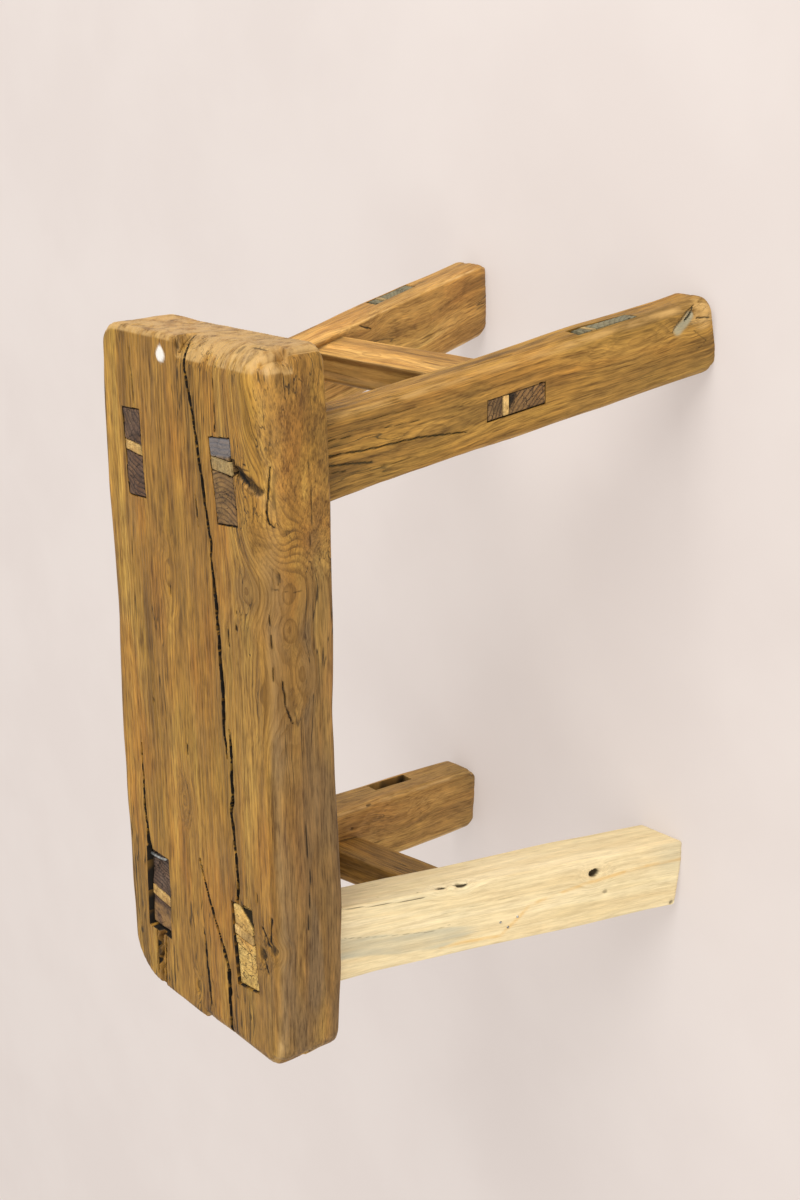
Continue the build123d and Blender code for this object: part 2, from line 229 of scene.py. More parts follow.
# %% [markdown]
# ## One recipe for wood
#
# Old wood has many things to show: broad streaks of colour along the grain, patches that are
# redder or greener, growth rings that come out as lines on a side and as arcs on an end, fine
# fibres, short dark pores, and dirt or wear. A flat picture wrapped round a beam would show the
# same lines on its end as on its side. So the finish reads sets of numbers that are stored at the
# points of each mesh instead. "grain" is the place in the log, along it first. "rings" counts the
# growth rings out from the pith, bent round the knots. "marks" holds dirt, wear and dullness; on the
# bars the dirt and dullness also hold painted shade, and on the seat's +X end the wear holds a
# painted highlight. "signs" holds how near a knot is, where fine drying checks run, and stains.
# Because these are tied to the log and not to the surface, sides, ends and the walls of a crack all
# agree.


# %% Read the numbers of a mesh
def stored(finish, title, output):
    """One set of numbers, as the output of its node that has the right kind."""
    return finish.node("ShaderNodeAttribute", {"attribute_name": title}, {}, output)


def three_of(finish, title):
    """The three numbers that a mesh keeps as one colour."""
    split = finish.node("ShaderNodeSeparateColor", {}, {0: stored(finish, title, 0)}).output.node
    return [Wire(finish, output) for output in split.outputs]


print("each mesh stores grain, rings, marks and signs")

# %% [markdown]
# The broad colour comes first: wide streaks that run along the log, from deep to pale. Over them
# lie patches that are a little redder or greener, because no board has one colour all over.


# %% Broad colour
def broad_colour(finish, grain, pale, mid, deep, patches):
    """Streaks along the log with warm and green patches, and the noise behind the streaks."""
    broad = pulled_noise(finish, grain, (6.0, 75.0, 75.0), 4, 0.6)
    stops = [(0.3, deep), (0.5, mid), (0.7, pale)]
    colour = finish.node("ShaderNodeValToRGB", {"stops": stops}, {0: broad})
    patch = pulled_noise(finish, grain, (11.0, 38.0, 38.0), 3)
    warm, green = soft_step(finish, patch, 0.5, 0.68), 1 - soft_step(finish, patch, 0.34, 0.5)
    colour = mix(finish, warm * patches, colour, (1.0, 0.78, 0.58, 1), "MULTIPLY")
    colour = mix(finish, green * patches, colour, (0.84, 0.92, 0.8, 1), "MULTIPLY")
    return colour, broad


# %% [markdown]
# A growth ring is pale for most of its width and ends in a thin dark line. Along the log the
# lines fade and come back, and round a knot they are clearest. A drying check is found in another
# way: it lies where a stretched noise crosses its middle value, which gives a long, thin and
# broken line.


# %% Growth rings and drying checks
def ring_lines(finish, rings, faint, near_knot, strength):
    """The dark lines of the growth rings."""
    late = finish.sum("FRACT", rings, 0.0)
    line = soft_step(finish, late, 0.4, 0.9) * (1 - soft_step(finish, late, 0.93, 1.0))
    return line * (faint * 0.6 + 0.4) * strength + line * near_knot * 0.5


def drying_checks(finish, grain, checks, faint):
    """Fine cracks, where the mesh asks for them."""
    crossing = pulled_noise(finish, grain, (13.0, 190.0, 190.0), 2, 0.5) - 0.5
    away = finish.sum("ABSOLUTE", crossing, 0.0)
    gate = soft_step(finish, checks + (faint - 0.5) * 0.6, 0.45, 0.8)
    return (1 - soft_step(finish, away, 0.003, 0.022)) * gate


# %% [markdown]
# Fibres, streaks and mottling are noises of three sizes, from nearly a hair to a finger wide. One
# ramp turns their sum into a shade that multiplies the colour. Pores are short dark dashes.


# %% Fibres and pores
def fine_grain(finish, grain):
    """The three noises, the shade made from them and the mask of pores and thin streaks."""
    fibre = pulled_noise(finish, grain, (75.0, 1350.0, 1350.0), 2, 0.6)
    streak = pulled_noise(finish, grain, (17.0, 430.0, 430.0), 3, 0.6)
    mottle = pulled_noise(finish, grain, (70.0, 230.0, 230.0), 3, 0.65)
    dark, even, light = (0.42, 0.36, 0.29, 1), (0.95, 0.95, 0.94, 1), (1.42, 1.38, 1.3, 1)
    stops = [(0.38, dark), (0.5, even), (0.62, light)]
    blend = fibre * 0.42 + streak * 0.33 + mottle * 0.25
    shade = finish.node("ShaderNodeValToRGB", {"stops": stops}, {0: blend})
    pores = pulled_noise(finish, grain, (120.0, 1100.0, 1100.0), 2, 0.5)
    thin = soft_step(finish, streak, 0.62, 0.76) * 0.5 + soft_step(finish, pores, 0.6, 0.72) * 0.6
    return fibre, streak, mottle, shade, thin


# %% [markdown]
# The recipe puts these together from below: broad colour, dullness, rings, fibres, checks, and
# then what hands, water and dirt did, with the painted shade and painted highlight that some pieces
# carry in their dirt, dullness and wear. Knots keep more of the plain colour, so that their rings
# are not lost among the fibres. The same masks make the bump, so that what is dark is also deep.


# %% The wood finish
def wood(name, tones, ring_strength, fibre_strength, roughness, streaks, patches=0.5):
    """A finish for wood. The tones are pale, mid, deep, dull, dirt, worn and stain."""
    pale, mid, deep, dull_tone, dirt_tone, worn, stain_tone = [paint(*tone) for tone in tones]
    finish = Finish(name)
    grain, rings = stored(finish, "grain", 1), stored(finish, "rings", 2)
    dirt, wear, dull = three_of(finish, "marks")
    knot, checks, stain = three_of(finish, "signs")
    near_knot = soft_step(finish, knot, 0.05, 0.5)
    faint = soft_step(finish, pulled_noise(finish, grain, (12.0, 60.0, 60.0), 2), 0.35, 0.65)

    colour, broad = broad_colour(finish, grain, pale, mid, deep, patches)
    blotch = pulled_noise(finish, grain, (9.0, 26.0, 26.0), 2)
    # Dullness also holds the painted shade on the bars' undersides.
    dull_and_shade_mask = dull * 0.9 + soft_step(finish, blotch, 0.54, 0.72) * 0.35
    colour = mix(finish, dull_and_shade_mask, colour, dull_tone)
    colour = mix(finish, near_knot * 0.35, colour, mid)
    line = ring_lines(finish, rings, faint, near_knot, ring_strength)
    colour = mix(finish, line, colour, deep)

    fibre, streak, mottle, shade, thin = fine_grain(finish, grain)
    shade_mask = (1 - near_knot * 0.45) * fibre_strength
    colour = mix(finish, shade_mask, colour, shade, "MULTIPLY")
    colour = mix(finish, thin * streaks, colour, dirt_tone)
    check = drying_checks(finish, grain, checks, faint)
    colour = mix(finish, check * 0.75, colour, dirt_tone)

    # Wear also holds a painted highlight on the seat's +X end.
    rub = soft_step(finish, pulled_noise(finish, grain, (60.0, 130.0, 130.0), 3), 0.3, 0.6)
    colour = mix(finish, wear * rub * 0.8, colour, worn)
    colour = mix(finish, stain, colour, stain_tone)
    # Dirt also holds painted shade on the bars' upper edges and undersides.
    grime_and_shade = soft_step(finish, dirt + (fibre - 0.5) * 0.5, 0.18, 0.75)
    colour = mix(finish, grime_and_shade, colour, dirt_tone)

    height = fibre * 0.5 + streak * 0.6 + mottle * 0.3 - line * 0.35 - grime_and_shade * 0.8 - check
    sockets = {"Strength": 0.7, "Distance": 0.0006, "Height": height}
    bump = finish.node("ShaderNodeBump", {}, sockets)
    rough = roughness + (broad - 0.5) * 0.25 + grime_and_shade * 0.25 - wear * 0.08
    finish.set(Base_Color=colour, Roughness=rough, Normal=bump)
    finish.shader.inputs["Specular IOR Level"].default_value = 0.22
    print("finish", name, "with", len(finish.tree.nodes), "nodes")
    return finish.material


# %% [markdown]
# The same recipe gives nine kinds of wood. The seat is warm brown from handling and wax. The old
# legs are the same timber, a little drier, and two of them and the broad stretcher are paler. The
# new leg is softwood, with orange growth streaks and a blue stain. End grain drinks in wax and
# dirt, so the tenon heads are darker than the sides of the same log, and the broken stubs, which
# never had any wax, have gone grey. The numbers after the tones say how strong the rings and the
# fibres are, how rough the wood is, and how much of it is thin streaks and patches.

# %% Nine kinds of wood, each with its pale, mid and deep tones, then dull, dirt, worn and stain
seat_wood = wood(
    "waxed_seat_wood",
    [(178, 139, 64), (150, 110, 45), (110, 78, 32),
     (110, 87, 56), (24, 19, 12), (186, 152, 98), (228, 224, 216)],
    0.45, 1.0, 0.5, 0.2, 0.5,
)
leg_wood = wood(
    "old_leg_wood",
    [(178, 137, 66), (149, 111, 49), (106, 77, 34),
     (118, 96, 56), (52, 46, 27), (190, 152, 92), (150, 150, 128)],
    0.4, 0.95, 0.58, 0.22, 0.4,
)
pale_leg_wood = wood(
    "old_leg_wood_pale",
    [(210, 168, 98), (180, 136, 70), (134, 96, 46),
     (138, 111, 62), (52, 45, 28), (216, 180, 122), (150, 150, 128)],
    0.4, 0.85, 0.58, 0.2, 0.4,
)
new_wood = wood(
    "new_leg_wood",
    [(227, 211, 172), (219, 201, 158), (208, 186, 140),
     (200, 191, 156), (62, 52, 34), (212, 168, 94), (162, 164, 148)],
    0.3, 0.32, 0.6, 0.05, 0.1,
)
head_wood = wood(
    "tenon_end_grain",
    [(118, 90, 64), (94, 70, 52), (60, 45, 37),
     (96, 84, 76), (26, 21, 16), (172, 132, 76), (104, 104, 110)],
    0.75, 0.95, 0.62, 0.4,
)
brown_head_wood = wood(
    "stretcher_end_grain",
    [(150, 116, 70), (122, 92, 54), (76, 56, 37),
     (112, 90, 62), (32, 26, 18), (172, 132, 76), (104, 104, 108)],
    0.75, 0.95, 0.62, 0.4,
)
wedge_wood = wood(
    "wedge_end_grain",
    [(210, 176, 112), (184, 146, 84), (138, 104, 58),
     (140, 120, 80), (40, 32, 20), (216, 184, 122), (150, 140, 108)],
    0.4, 0.85, 0.6, 0.2,
)
pale_head_wood = wood(
    "new_tenon_end_grain",
    [(210, 178, 110), (194, 158, 88), (160, 124, 64),
     (164, 140, 90), (40, 32, 16), (214, 182, 112), (124, 108, 64)],
    0.22, 0.85, 0.6, 0.25,
)
stub_wood = wood(
    "broken_stub_wood",
    [(138, 130, 100), (114, 106, 80), (82, 74, 54),
     (112, 112, 94), (44, 38, 26), (150, 140, 110), (100, 104, 92)],
    0.2, 0.95, 0.7, 0.35,
)

# %% [markdown]
# ## Floor
#
# The backdrop is plain and pale, with a very faint mottle, and its shadows are weak, as on a lit
# sheet in a studio. It is a stage and not part of the stool. One large square is enough: it
# reflects a little and glows a little, so that the shadow under the stool stays light.

# %% Lay the floor
floor_finish = Finish("pale_floor")
floor_place = floor_finish.node("ShaderNodeTexCoord", {}, {}, 3)
floor_noise = pulled_noise(floor_finish, floor_place, (5.0, 5.0, 5.0), 4)
floor_mask = soft_step(floor_finish, floor_noise, 0.35, 0.65)
floor_colour = mix(floor_finish, floor_mask, (0.285, 0.265, 0.255, 1), (0.275, 0.254, 0.244, 1))
floor_glow = mix(floor_finish, floor_mask, (0.448, 0.39, 0.357, 1), (0.433, 0.374, 0.342, 1))
floor_finish.set(Base_Color=floor_colour, Emission_Color=floor_glow)
floor_finish.shader.inputs["Emission Strength"].default_value = 1.0
floor_finish.shader.inputs["Roughness"].default_value = 0.9
reach = 5.0
floor_mesh = bpy.data.meshes.new("floor")
corners = [(-reach, -reach, 0), (reach, -reach, 0), (reach, reach, 0), (-reach, reach, 0)]
floor_mesh.from_pydata(corners, [], [(0, 1, 2, 3)])
floor_mesh.materials.append(floor_finish.material)
floor = bpy.data.objects.new("floor", floor_mesh)
scene.collection.objects.link(floor)
floor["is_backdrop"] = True
print("floor laid at height 0")

# %% [markdown]
# ## A dense skin for a beam
#
# Dents and cracks need many points to bend. A subdivided box has them everywhere alike, but here
# they are wanted where a crack or an opening runs. So a beam starts as a closed box of quads
# whose lines lie at chosen places along each axis, close together where detail comes.


# %% Places along an axis
def spread(low, high, step, bands=(), rims=()):
    """Places from low to high, a step apart, closer inside each band of (start, end, step), with a
    tight pair of places at each rim of an opening."""
    places = [low]
    while places[-1] < high - 1e-6:
        at = places[-1]
        gap = min([step] + [fine for start, end, fine in bands if start - 1e-6 <= at < end])
        ahead = [start for start, end, fine in bands if at + 1e-6 < start < at + gap]
        places.append(min([at + gap, high] + ahead))
    rim_gap, rim_clear = 0.1, 0.45
    tight = [rim + side * rim_gap for rim in rims for side in (-1, 1)]
    kept = [p for p in places if p in (low, high) or all(abs(p - rim) > rim_clear for rim in rims)]
    return np.array(sorted(kept + tight))


def box_of_quads(xs, ys, zs):
    """The points and faces of a closed box with lines at the given places."""
    shape = (len(xs), len(ys), len(zs))
    index = np.indices(shape)
    last = np.array(shape).reshape(3, 1, 1, 1) - 1
    skin = ((index == 0) | (index == last)).any(axis=0)
    number = np.full(shape, -1)
    number[skin] = np.arange(skin.sum())
    points = np.stack([xs[index[0][skin]], ys[index[1][skin]], zs[index[2][skin]]], axis=1)
    faces = []
    for axis in range(3):
        for end in (0, shape[axis] - 1):
            sheet = np.take(number, end, axis=axis)
            ring = [sheet[:-1, :-1], sheet[1:, :-1], sheet[1:, 1:], sheet[:-1, 1:]]
            quads = np.stack(ring, axis=-1).reshape(-1, 4)
            faces.append(quads[:, ::-1] if (end == 0) != (axis == 1) else quads)
    return points.astype(float), np.concatenate(faces)


test_points, test_faces = box_of_quads(*(spread(-1, 1, 0.5),) * 3)
print("a small box has", len(test_points), "points and", len(test_faces), "faces")

# %% [markdown]
# Hewn edges are round. A ball that rolls inside the box touches its walls and rounds every edge:
# the nearest place of the ball's centre is the point held back from the walls by the radius, and
# the point moves out from there by the radius. Where a wall is flat nothing changes.


# %% Rounding and random lumps
def roll_round(points, half, radius, axes=(0, 1, 2)):
    """The box points with rounded edges, and the outward direction at each point. The radius may
    differ from point to point."""
    axes = list(axes)
    radius = np.broadcast_to(np.asarray(radius, float).reshape(-1, 1), (len(points), 1))
    part = points[:, axes]
    core = np.clip(part, -(half[axes] - radius), half[axes] - radius)
    out = part - core
    length = np.linalg.norm(out, axis=1, keepdims=True)
    away = out / np.maximum(length, 1e-9)
    moved = points.copy()
    moved[:, axes] = np.where(length > 1e-6, core + away * np.minimum(length, radius), part)
    outward = np.zeros_like(points)
    outward[:, axes] = away
    return moved, outward


def lumps(points, size, seed):
    """Smooth random heights from -1 to 1, in lumps of the given size along each axis."""
    table = np.random.default_rng(seed).uniform(-1, 1, (32, 32, 32))
    grid = points / np.asarray(size, float)
    cell = np.floor(grid).astype(int)
    part = grid - cell
    part = part * part * (3 - 2 * part)
    total = np.zeros(len(points))
    for corner in np.ndindex(2, 2, 2):
        weight = np.prod(np.where(corner, part, 1 - part), axis=1)
        total += weight * table[tuple(((cell + corner) % 32).T)]
    return total


def ease(value, low, high):
    """0 under the low value, 1 over the high one, and a smooth slope between."""
    part = np.clip((value - low) / (high - low), 0, 1)
    return part * part * (3 - 2 * part)


def near_path(points, path):
    """How far each point is from a line through the places of a path, flat or in space."""
    path = np.asarray(path, float)
    nearest = np.full(len(points), 1e9)
    for start, end in zip(path[:-1], path[1:]):
        run = end - start
        share = np.clip((points - start) @ run / (run @ run), 0, 1)
        nearest = np.minimum(nearest, np.linalg.norm(points - start - share[:, None] * run, axis=1))
    return nearest


print("lumps at three places:", lumps(np.eye(3) * 7.3, (5, 5, 5), 1).round(2))

# %% [markdown]
# One function hands every finished shape over to Blender. It stores the four sets of numbers
# that the wood finish reads, keeps edges over 40 degrees sharp so that the rims of the mortises
# stay crisp, and hides the CAD parts that the piece stands for.


# %% Hand a shape to Blender
made_faces = []


def hand_over(name, points, faces, finish, slot, nodes, grain, rings, marks, signs=None):
    """Make one wooden piece with its finish and stored numbers; hide the CAD parts it stands for."""
    mesh = bpy.data.meshes.new(name)
    mesh.from_pydata((points / 1000).tolist(), [], faces.tolist())
    mesh.shade_smooth()
    mesh.set_sharp_from_angle(angle=math.radians(40))
    mesh.materials.append(finish)
    signs = np.zeros((len(points), 3)) if signs is None else signs
    opaque = np.ones(len(points))
    layers = (
        ("grain", "FLOAT_VECTOR", "vector", grain / 1000),
        ("rings", "FLOAT", "value", rings),
        ("marks", "FLOAT_COLOR", "color", np.column_stack([np.clip(marks, 0, 1), opaque])),
        ("signs", "FLOAT_COLOR", "color", np.column_stack([np.clip(signs, 0, 1), opaque])),
    )
    for title, kind, field, values in layers:
        layer = mesh.attributes.new(title, kind, "POINT")
        layer.data.foreach_set(field, np.ascontiguousarray(values, np.float32).ravel())
    piece = bpy.data.objects.new(name, mesh)
    scene.collection.objects.link(piece)
    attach(piece, "root")
    if nodes:
        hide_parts(*nodes)
    made_faces.append(len(faces))
    print("made", name, "with", len(faces), "faces")


# %% [markdown]
# ## The seat plank
#
# The plank is 420 mm long, with wavy long edges, round corners and edges worn soft by hands. The
# box of quads is rounded first, then its sides are bent to the plank's outline. Lines lie 0.6 mm
# apart in the two bands where the cracks and mortises run, because those are narrow. The front
# edge of the top is worn roundest.

# %% The plank's box
seat_top, seat_under = 312.5, 267.5
seat_half = np.array([210.0, 76.5, 22.5])
half_long, half_wide, half_thick = seat_half
end_bands = [(x - 3, x + 3, 0.9) for x in (111, 162, 108, 160, -118, -172, -120)]
seat_xs = spread(-half_long, half_long, 1.4, end_bands)
seat_ys = spread(-half_wide, half_wide, 1.2, [(-50, -3, 0.6), (34, 62, 0.6)])
seat_zs = spread(-half_thick, half_thick, 1.2)
seat_points, seat_faces = box_of_quads(seat_xs, seat_ys, seat_zs)
print("the plank has", len(seat_faces), "faces")

# %% [markdown]
# Hands wear the front edge of the top most, and most of all towards the right end, where its
# radius grows from 9.5 to 18 mm. Seen from above, the four corners are round too, each with a
# radius of its own.

# %% Round the plank
top_radius, under_radius = 4.5, 3.0
upper_half = seat_points[:, 2] > 0
front_radius = 9.5 + 8.5 * ease(seat_points[:, 0], 10, 110)
edge_radius = np.where(upper_half, top_radius, under_radius)
edge_radius = np.where(upper_half & (seat_points[:, 1] < 0), front_radius, edge_radius)
edge_radius = edge_radius + 1.2 * lumps(seat_points, (30, 60, 60), 3)
seat_shape, seat_out = roll_round(seat_points, seat_half, edge_radius)
print("edge radius from", edge_radius.min().round(1), "to", edge_radius.max().round(1))


def draw_in(a, b):
    """For places past the start of a round corner in two directions: where they are past it in
    both, and by how much to draw them in."""
    return (a > 0) & (b > 0), np.maximum(a, b) / np.maximum(np.hypot(a, b), 1e-9)


def turn_corners(points, radius_of):
    """Round the plan of the plank: each square corner is drawn in to a quarter of a disc."""
    x, y = points[:, 0].copy(), points[:, 1].copy()
    for (sign_x, sign_y), radius in radius_of.items():
        a = sign_x * x - (half_long - radius)
        b = sign_y * y - (half_wide - radius)
        inside, shrink = draw_in(a, b)
        x = np.where(inside, sign_x * (half_long - radius + a * shrink), x)
        y = np.where(inside, sign_y * (half_wide - radius + b * shrink), y)
    return np.column_stack([x, y, points[:, 2]])


corner_radii = {(-1, -1): 15.0, (-1, 1): 26.0, (1, -1): 12.0, (1, 1): 13.0}
seat_shape = turn_corners(seat_shape, corner_radii)
print("corner radii", list(corner_radii.values()))

# %% [markdown]
# The outline comes from a few measured places on each long edge, joined by straight runs that are
# then averaged, which gives the lazy curves of a plank that was split and not sawn. Rounding
# takes a little off what one sees of an edge, so the places lie far enough out for the rounded
# plank to look as wide as the real one.


# %% Bend the plank to its outline
def lazy_line(places, x):
    """Values along X through measured places, with the bends between them made soft."""
    fine = np.linspace(-240, 240, 481)
    line = np.interp(fine, *zip(*sorted(places)))
    window = np.hanning(41)
    padded = np.pad(line, 20, mode="edge")
    return np.interp(x, fine, np.convolve(padded, window / window.sum(), mode="valid"))


back_edge = [(-210, 79.4), (-190, 80.6), (-149, 81.7), (-93, 81.6), (-39, 82.5), (14, 80.3),
             (40, 78.5), (65, 78.7), (114, 80.8), (163, 80.2), (199, 77.2), (210, 76.6)]
front_edge = [(-217, -76.0), (-165, -80.0), (-113, -81.5), (-50, -80.1), (21, -79.3), (70, -80.1),
              (126, -81.5), (180, -79.9), (210, -77.2)]
left_end = np.interp(seat_shape[:, 1], [-half_wide, half_wide], [-219.4, -211.5])
share = (seat_shape[:, 0] + half_long) / (2 * half_long)
seat_x = left_end + share * (half_long - left_end)
seat_back, seat_front = lazy_line(back_edge, seat_x), lazy_line(front_edge, seat_x)
seat_side = seat_shape[:, 1] / half_wide
seat_y = (seat_back + seat_front) / 2 + seat_side * (seat_back - seat_front) / 2
seat_shape = np.column_stack([seat_x, seat_y, seat_shape[:, 2] + seat_top - half_thick])
print("plank from", seat_shape.min(axis=0).round(1), "to", seat_shape.max(axis=0).round(1))

# %% [markdown]
# ## Cracks
#
# A drying crack follows the grain, opens and closes on its way, and is deepest where it is
# widest. Each one is written as a list of places with an opening, and a little random wander is
# added, because a drawn line looks cut with a knife. Cutting them with a Boolean would leave thin
# broken faces, so the points of the dense skin are pushed down instead.

# %% The cracks in the top, as (x, y, opening)
cracks = {
    "long": [(212, -1.5, 0.5), (208, -4, 0.5), (204, -6.8, 0.6), (196.4, -8.7, 0.7),
             (181.3, -11.6, 1.3), (160.3, -16.9, 1.1), (130.6, -21.3, 1.3), (96.3, -27.3, 1.1),
             (86.9, -26.6, 1.0), (67, -29, 1.6), (39.6, -30.8, 1.9), (10, -32.6, 2.0),
             (-12, -32.5, 1.4), (-30, -33.6, 0.3)],
    "long_second": [(-12, -37.6, 0.2), (-20.1, -38.3, 1.1), (-54.7, -36.9, 1.9),
                    (-61.7, -35.2, 1.6), (-86, -38.3, 1.6), (-104.8, -39.5, 1.5),
                    (-120, -38.7, 1.5)],
    "fork": [(-106, 0, 0.2), (-115, -2.6, 0.7), (-131.1, -9.3, 1.0), (-149.2, -18.4, 1.7),
             (-169.1, -27.0, 2.6), (-186.6, -26.1, 2.1), (-218, -26.0, 1.7)],
    "fork_side": [(-150, -1.4, 0.2), (-155.8, -2, 0.8), (-175.8, -3.1, 0.9), (-203, -5.3, 0.6)],
    "above_worn_tenon": [(-48, 59.1, 0.1), (-54.8, 59.1, 0.3), (-83.3, 59.0, 0.7),
                         (-106.4, 57.2, 1.7), (-121, 55.6, 3.6)],
    "below_worn_tenon": [(-168, 46.5, 5.5), (-178, 48.5, 5.0), (-189.4, 49.6, 5.2),
                         (-205, 50.2, 4.6), (-218, 49.6, 4.0)],
    "by_front_tenon": [(194, -35.3, 0.1), (176.6, -36.4, 0.35), (161.2, -35.9, 0.6)],
    "by_back_tenon": [(198, 47.8, 0.05), (179, 45.6, 0.25), (164.4, 44.2, 0.35)],
    "thin_mid": [(56, -39.6, 0.1), (48, -40.1, 0.5), (38, -40.6, 0.1)],
    "beside_long": [(122, -13, 0.1), (114, -14, 0.5), (104, -14.8, 0.1)],
    "mid_fine": [(-30, 6.2, 0.1), (-36, 6.9, 0.4), (-42, 7.2, 0.1)],
}
crack_depths = {"long": 13, "long_second": 13, "fork": 12, "above_worn_tenon": 9,
                "below_worn_tenon": 3.5}
shallow_crack = 1.6


def crack_mask(x, y, places, seed):
    """Two masks, 1 inside a crack and 0 outside, with ragged sides: the opening, and the dirt,
    which reaches a little over its rim."""
    px, py, opening = zip(*sorted(places))
    line = np.column_stack([x, np.zeros(len(x)), np.zeros(len(x))])
    middle = np.interp(x, px, py) + 0.45 * lumps(line, (7, 1, 1), seed)
    middle = middle + 0.2 * lumps(line, (2, 1, 1), seed + 1)
    uneven = 1 + 0.4 * lumps(line, (4, 1, 1), seed + 2)
    wide = np.interp(x, px, opening, left=-1, right=-1) * uneven
    inward = np.where(wide > 0, wide * 0.5 + 0.25 - np.abs(y - middle), -9)
    return ease(inward, 0, 0.4), ease(inward, -0.75, 0) * np.clip(0.2 + 0.9 * wide, 0, 1)


print("cracks in the seat:", len(cracks))

# %% [markdown]
# ## Openings for the tenons
#
# Each leg ends in a tenon that comes up through the plank. Three heads are flush with it and show
# only a dark seam. The fourth has shrunk and sunk, so its mortise is open round it. The pockets
# are pressed a little wider than the heads that will stand in them.

# %% The four mortises, as centre, half length, half thickness and turn
mortises = {
    "front_right": (135.0, -42.0, 24.1, 9.9, 6.0),
    "back_right": (136.5, 47.5, 25.7, 8.8, 2.7),
    "front_left": (-147.0, -44.0, 26.4, 10.3, 4.0),
    "back_left": (-146.0, 48.0, 27.2, 12.0, -1.8),
}


def outside_mortise(x, y, name):
    """How far places are outside the rim of one mortise. Inside, the value is negative."""
    middle_x, middle_y, long, thick, degrees = mortises[name]
    angle = math.radians(degrees)
    along = (x - middle_x) * math.cos(angle) + (y - middle_y) * math.sin(angle)
    across = (y - middle_y) * math.cos(angle) - (x - middle_x) * math.sin(angle)
    return np.maximum(np.abs(along) - long, np.abs(across) - thick)


pocket_depth = 16.0
print("mortises:", list(mortises))

# %% [markdown]
# ## Knots and rings in the seat
#
# The plank was cut so that its rings meet the top nearly square on, which gives close straight
# lines there and broad flames along the front edge. The ring count is the distance from a pith
# well off the front of the plank. Near a knot the count bends over to the distance from the
# knot's own middle, so the lines flow round it as they do in the tree.

# %% Count the rings of the plank
seat_knots = [  # x, y, z, reach, ring spacing, pull along the grain
    (76.8, -82.5, 300.1, 15, 2.4, 1.25),
    (77, -60, 312, 13, 3.2, 1.25),
    (107.3, -83.5, 302.6, 12, 2.8, 1.6),
    (28.4, -81.5, 291.5, 9, 2.4, 1.9),
    (55.2, -81.5, 299.1, 6, 3.2, 1.6),
    (-144.8, -61.8, 312.5, 6.5, 1.7, 1.2),
    (-137.7, -73.2, 310, 6.5, 1.7, 1.2),
    (-194.6, 8.5, 312.5, 5, 1.4, 1.7),
    (141, -62, 312.5, 12, 2.4, 1.7),
    (70, 18, 312.5, 10, 3.4, 2.2),
    (-72, 13, 312.5, 7, 2.6, 1.8),
    (20, -70, 308, 12, 3.2, 2.4),
]


def count_rings(points, pith, spacing, knots, seed):
    """Growth rings out from a line along X, bent round the knots, and how near a knot is."""
    away = np.hypot(points[:, 1] - pith[0], points[:, 2] - pith[1])
    wavy = 1.3 * lumps(points, (150, 26, 26), seed) + 0.35 * lumps(points, (45, 9, 9), seed + 1)
    rings = away / spacing + wavy
    nearness = np.zeros(len(points))
    for x, y, z, reach, knot_spacing, pull in knots:
        gap = (points - (x, y, z)) / (pull, 1, 1)
        radius = np.linalg.norm(gap, axis=1) + 0.8 * lumps(points, (6, 6, 6), seed + 2)
        weight = np.exp(-((np.maximum(radius, 0) / reach) ** 2))
        at_knot = math.hypot(y - pith[0], z - pith[1]) / spacing
        rings = rings * (1 - weight) + weight * (at_knot + radius / knot_spacing)
        nearness = np.maximum(nearness, weight)
    return rings, nearness


seat_rings, seat_near_knot = count_rings(seat_shape, (-330, 250), 3.0, seat_knots, 11)
print("rings from", seat_rings.min().round(1), "to", seat_rings.max().round(1))

# %% [markdown]
# Now the plank's own skin is shaped. First low hollows from the adze and from years of sitting,
# then the raised and sunken lines of the grain, which really are a few tenths of a millimetre high
# on a worn board, then the cracks, pockets and pits. Each one also leaves dirt where it goes deep.

# %% Hollows and raised grain
on_top = ease(seat_out[:, 2], 0.35, 0.8)
x, y, z = seat_shape.T
hollow = 0.55 * lumps(seat_shape, (55, 30, 30), 21) + 0.25 * lumps(seat_shape, (18, 9, 9), 22)
ridge = 0.12 * np.cos(2 * math.pi * seat_rings) * (1 - on_top * 0.3)
shaped = seat_shape + seat_out * (hollow + ridge - 0.25)[:, None]
print("hollows and ridges reach", np.abs(hollow + ridge).max().round(2), "mm")

# %% [markdown]
# Sink is how far the top is pushed down at each point. Cracks and pockets both write to it, and
# the deeper one wins. A crack also shows on the upper part of the plank's ends, as a dark line.

# %% Cracks and pockets
seat_dirt = np.zeros(len(shaped))
sink = np.zeros(len(shaped))
over_the_end = (z > 299) & (np.abs(x) > 200)
for order, (name, places) in enumerate(cracks.items()):
    opening, dirt = crack_mask(x, y, places, 40 + 5 * order)
    sink = np.maximum(sink, opening * crack_depths.get(name, shallow_crack) * on_top)
    dirt = dirt * np.maximum(on_top, over_the_end)
    seat_dirt = np.maximum(seat_dirt, dirt * (0.32 if name == "below_worn_tenon" else 1.0))
uneven_seam = 0.5 + 0.5 * lumps(seat_shape, (9, 9, 9), 37)
for name in mortises:
    outside = outside_mortise(x, y, name)
    in_pocket = (outside < 0) & (on_top > 0.5)
    sink = np.where(in_pocket, np.maximum(sink, pocket_depth), sink)
    seam = 1 - ease(np.abs(outside), 0.1, 0.5 + 0.8 * uneven_seam)
    soiled = 1.0 if name == "back_left" else 0.25 + 0.7 * uneven_seam
    seat_dirt = np.maximum(seat_dirt, seam * on_top * soiled)
    seat_dirt = np.where(in_pocket, 1.0, seat_dirt)
shaped[:, 2] -= sink
print("points inside cracks and pockets:", int((sink > 1).sum()))

# %% [markdown]
# Pits are holes, chips and dark spots: a place, a size and a depth, with a ragged rim.

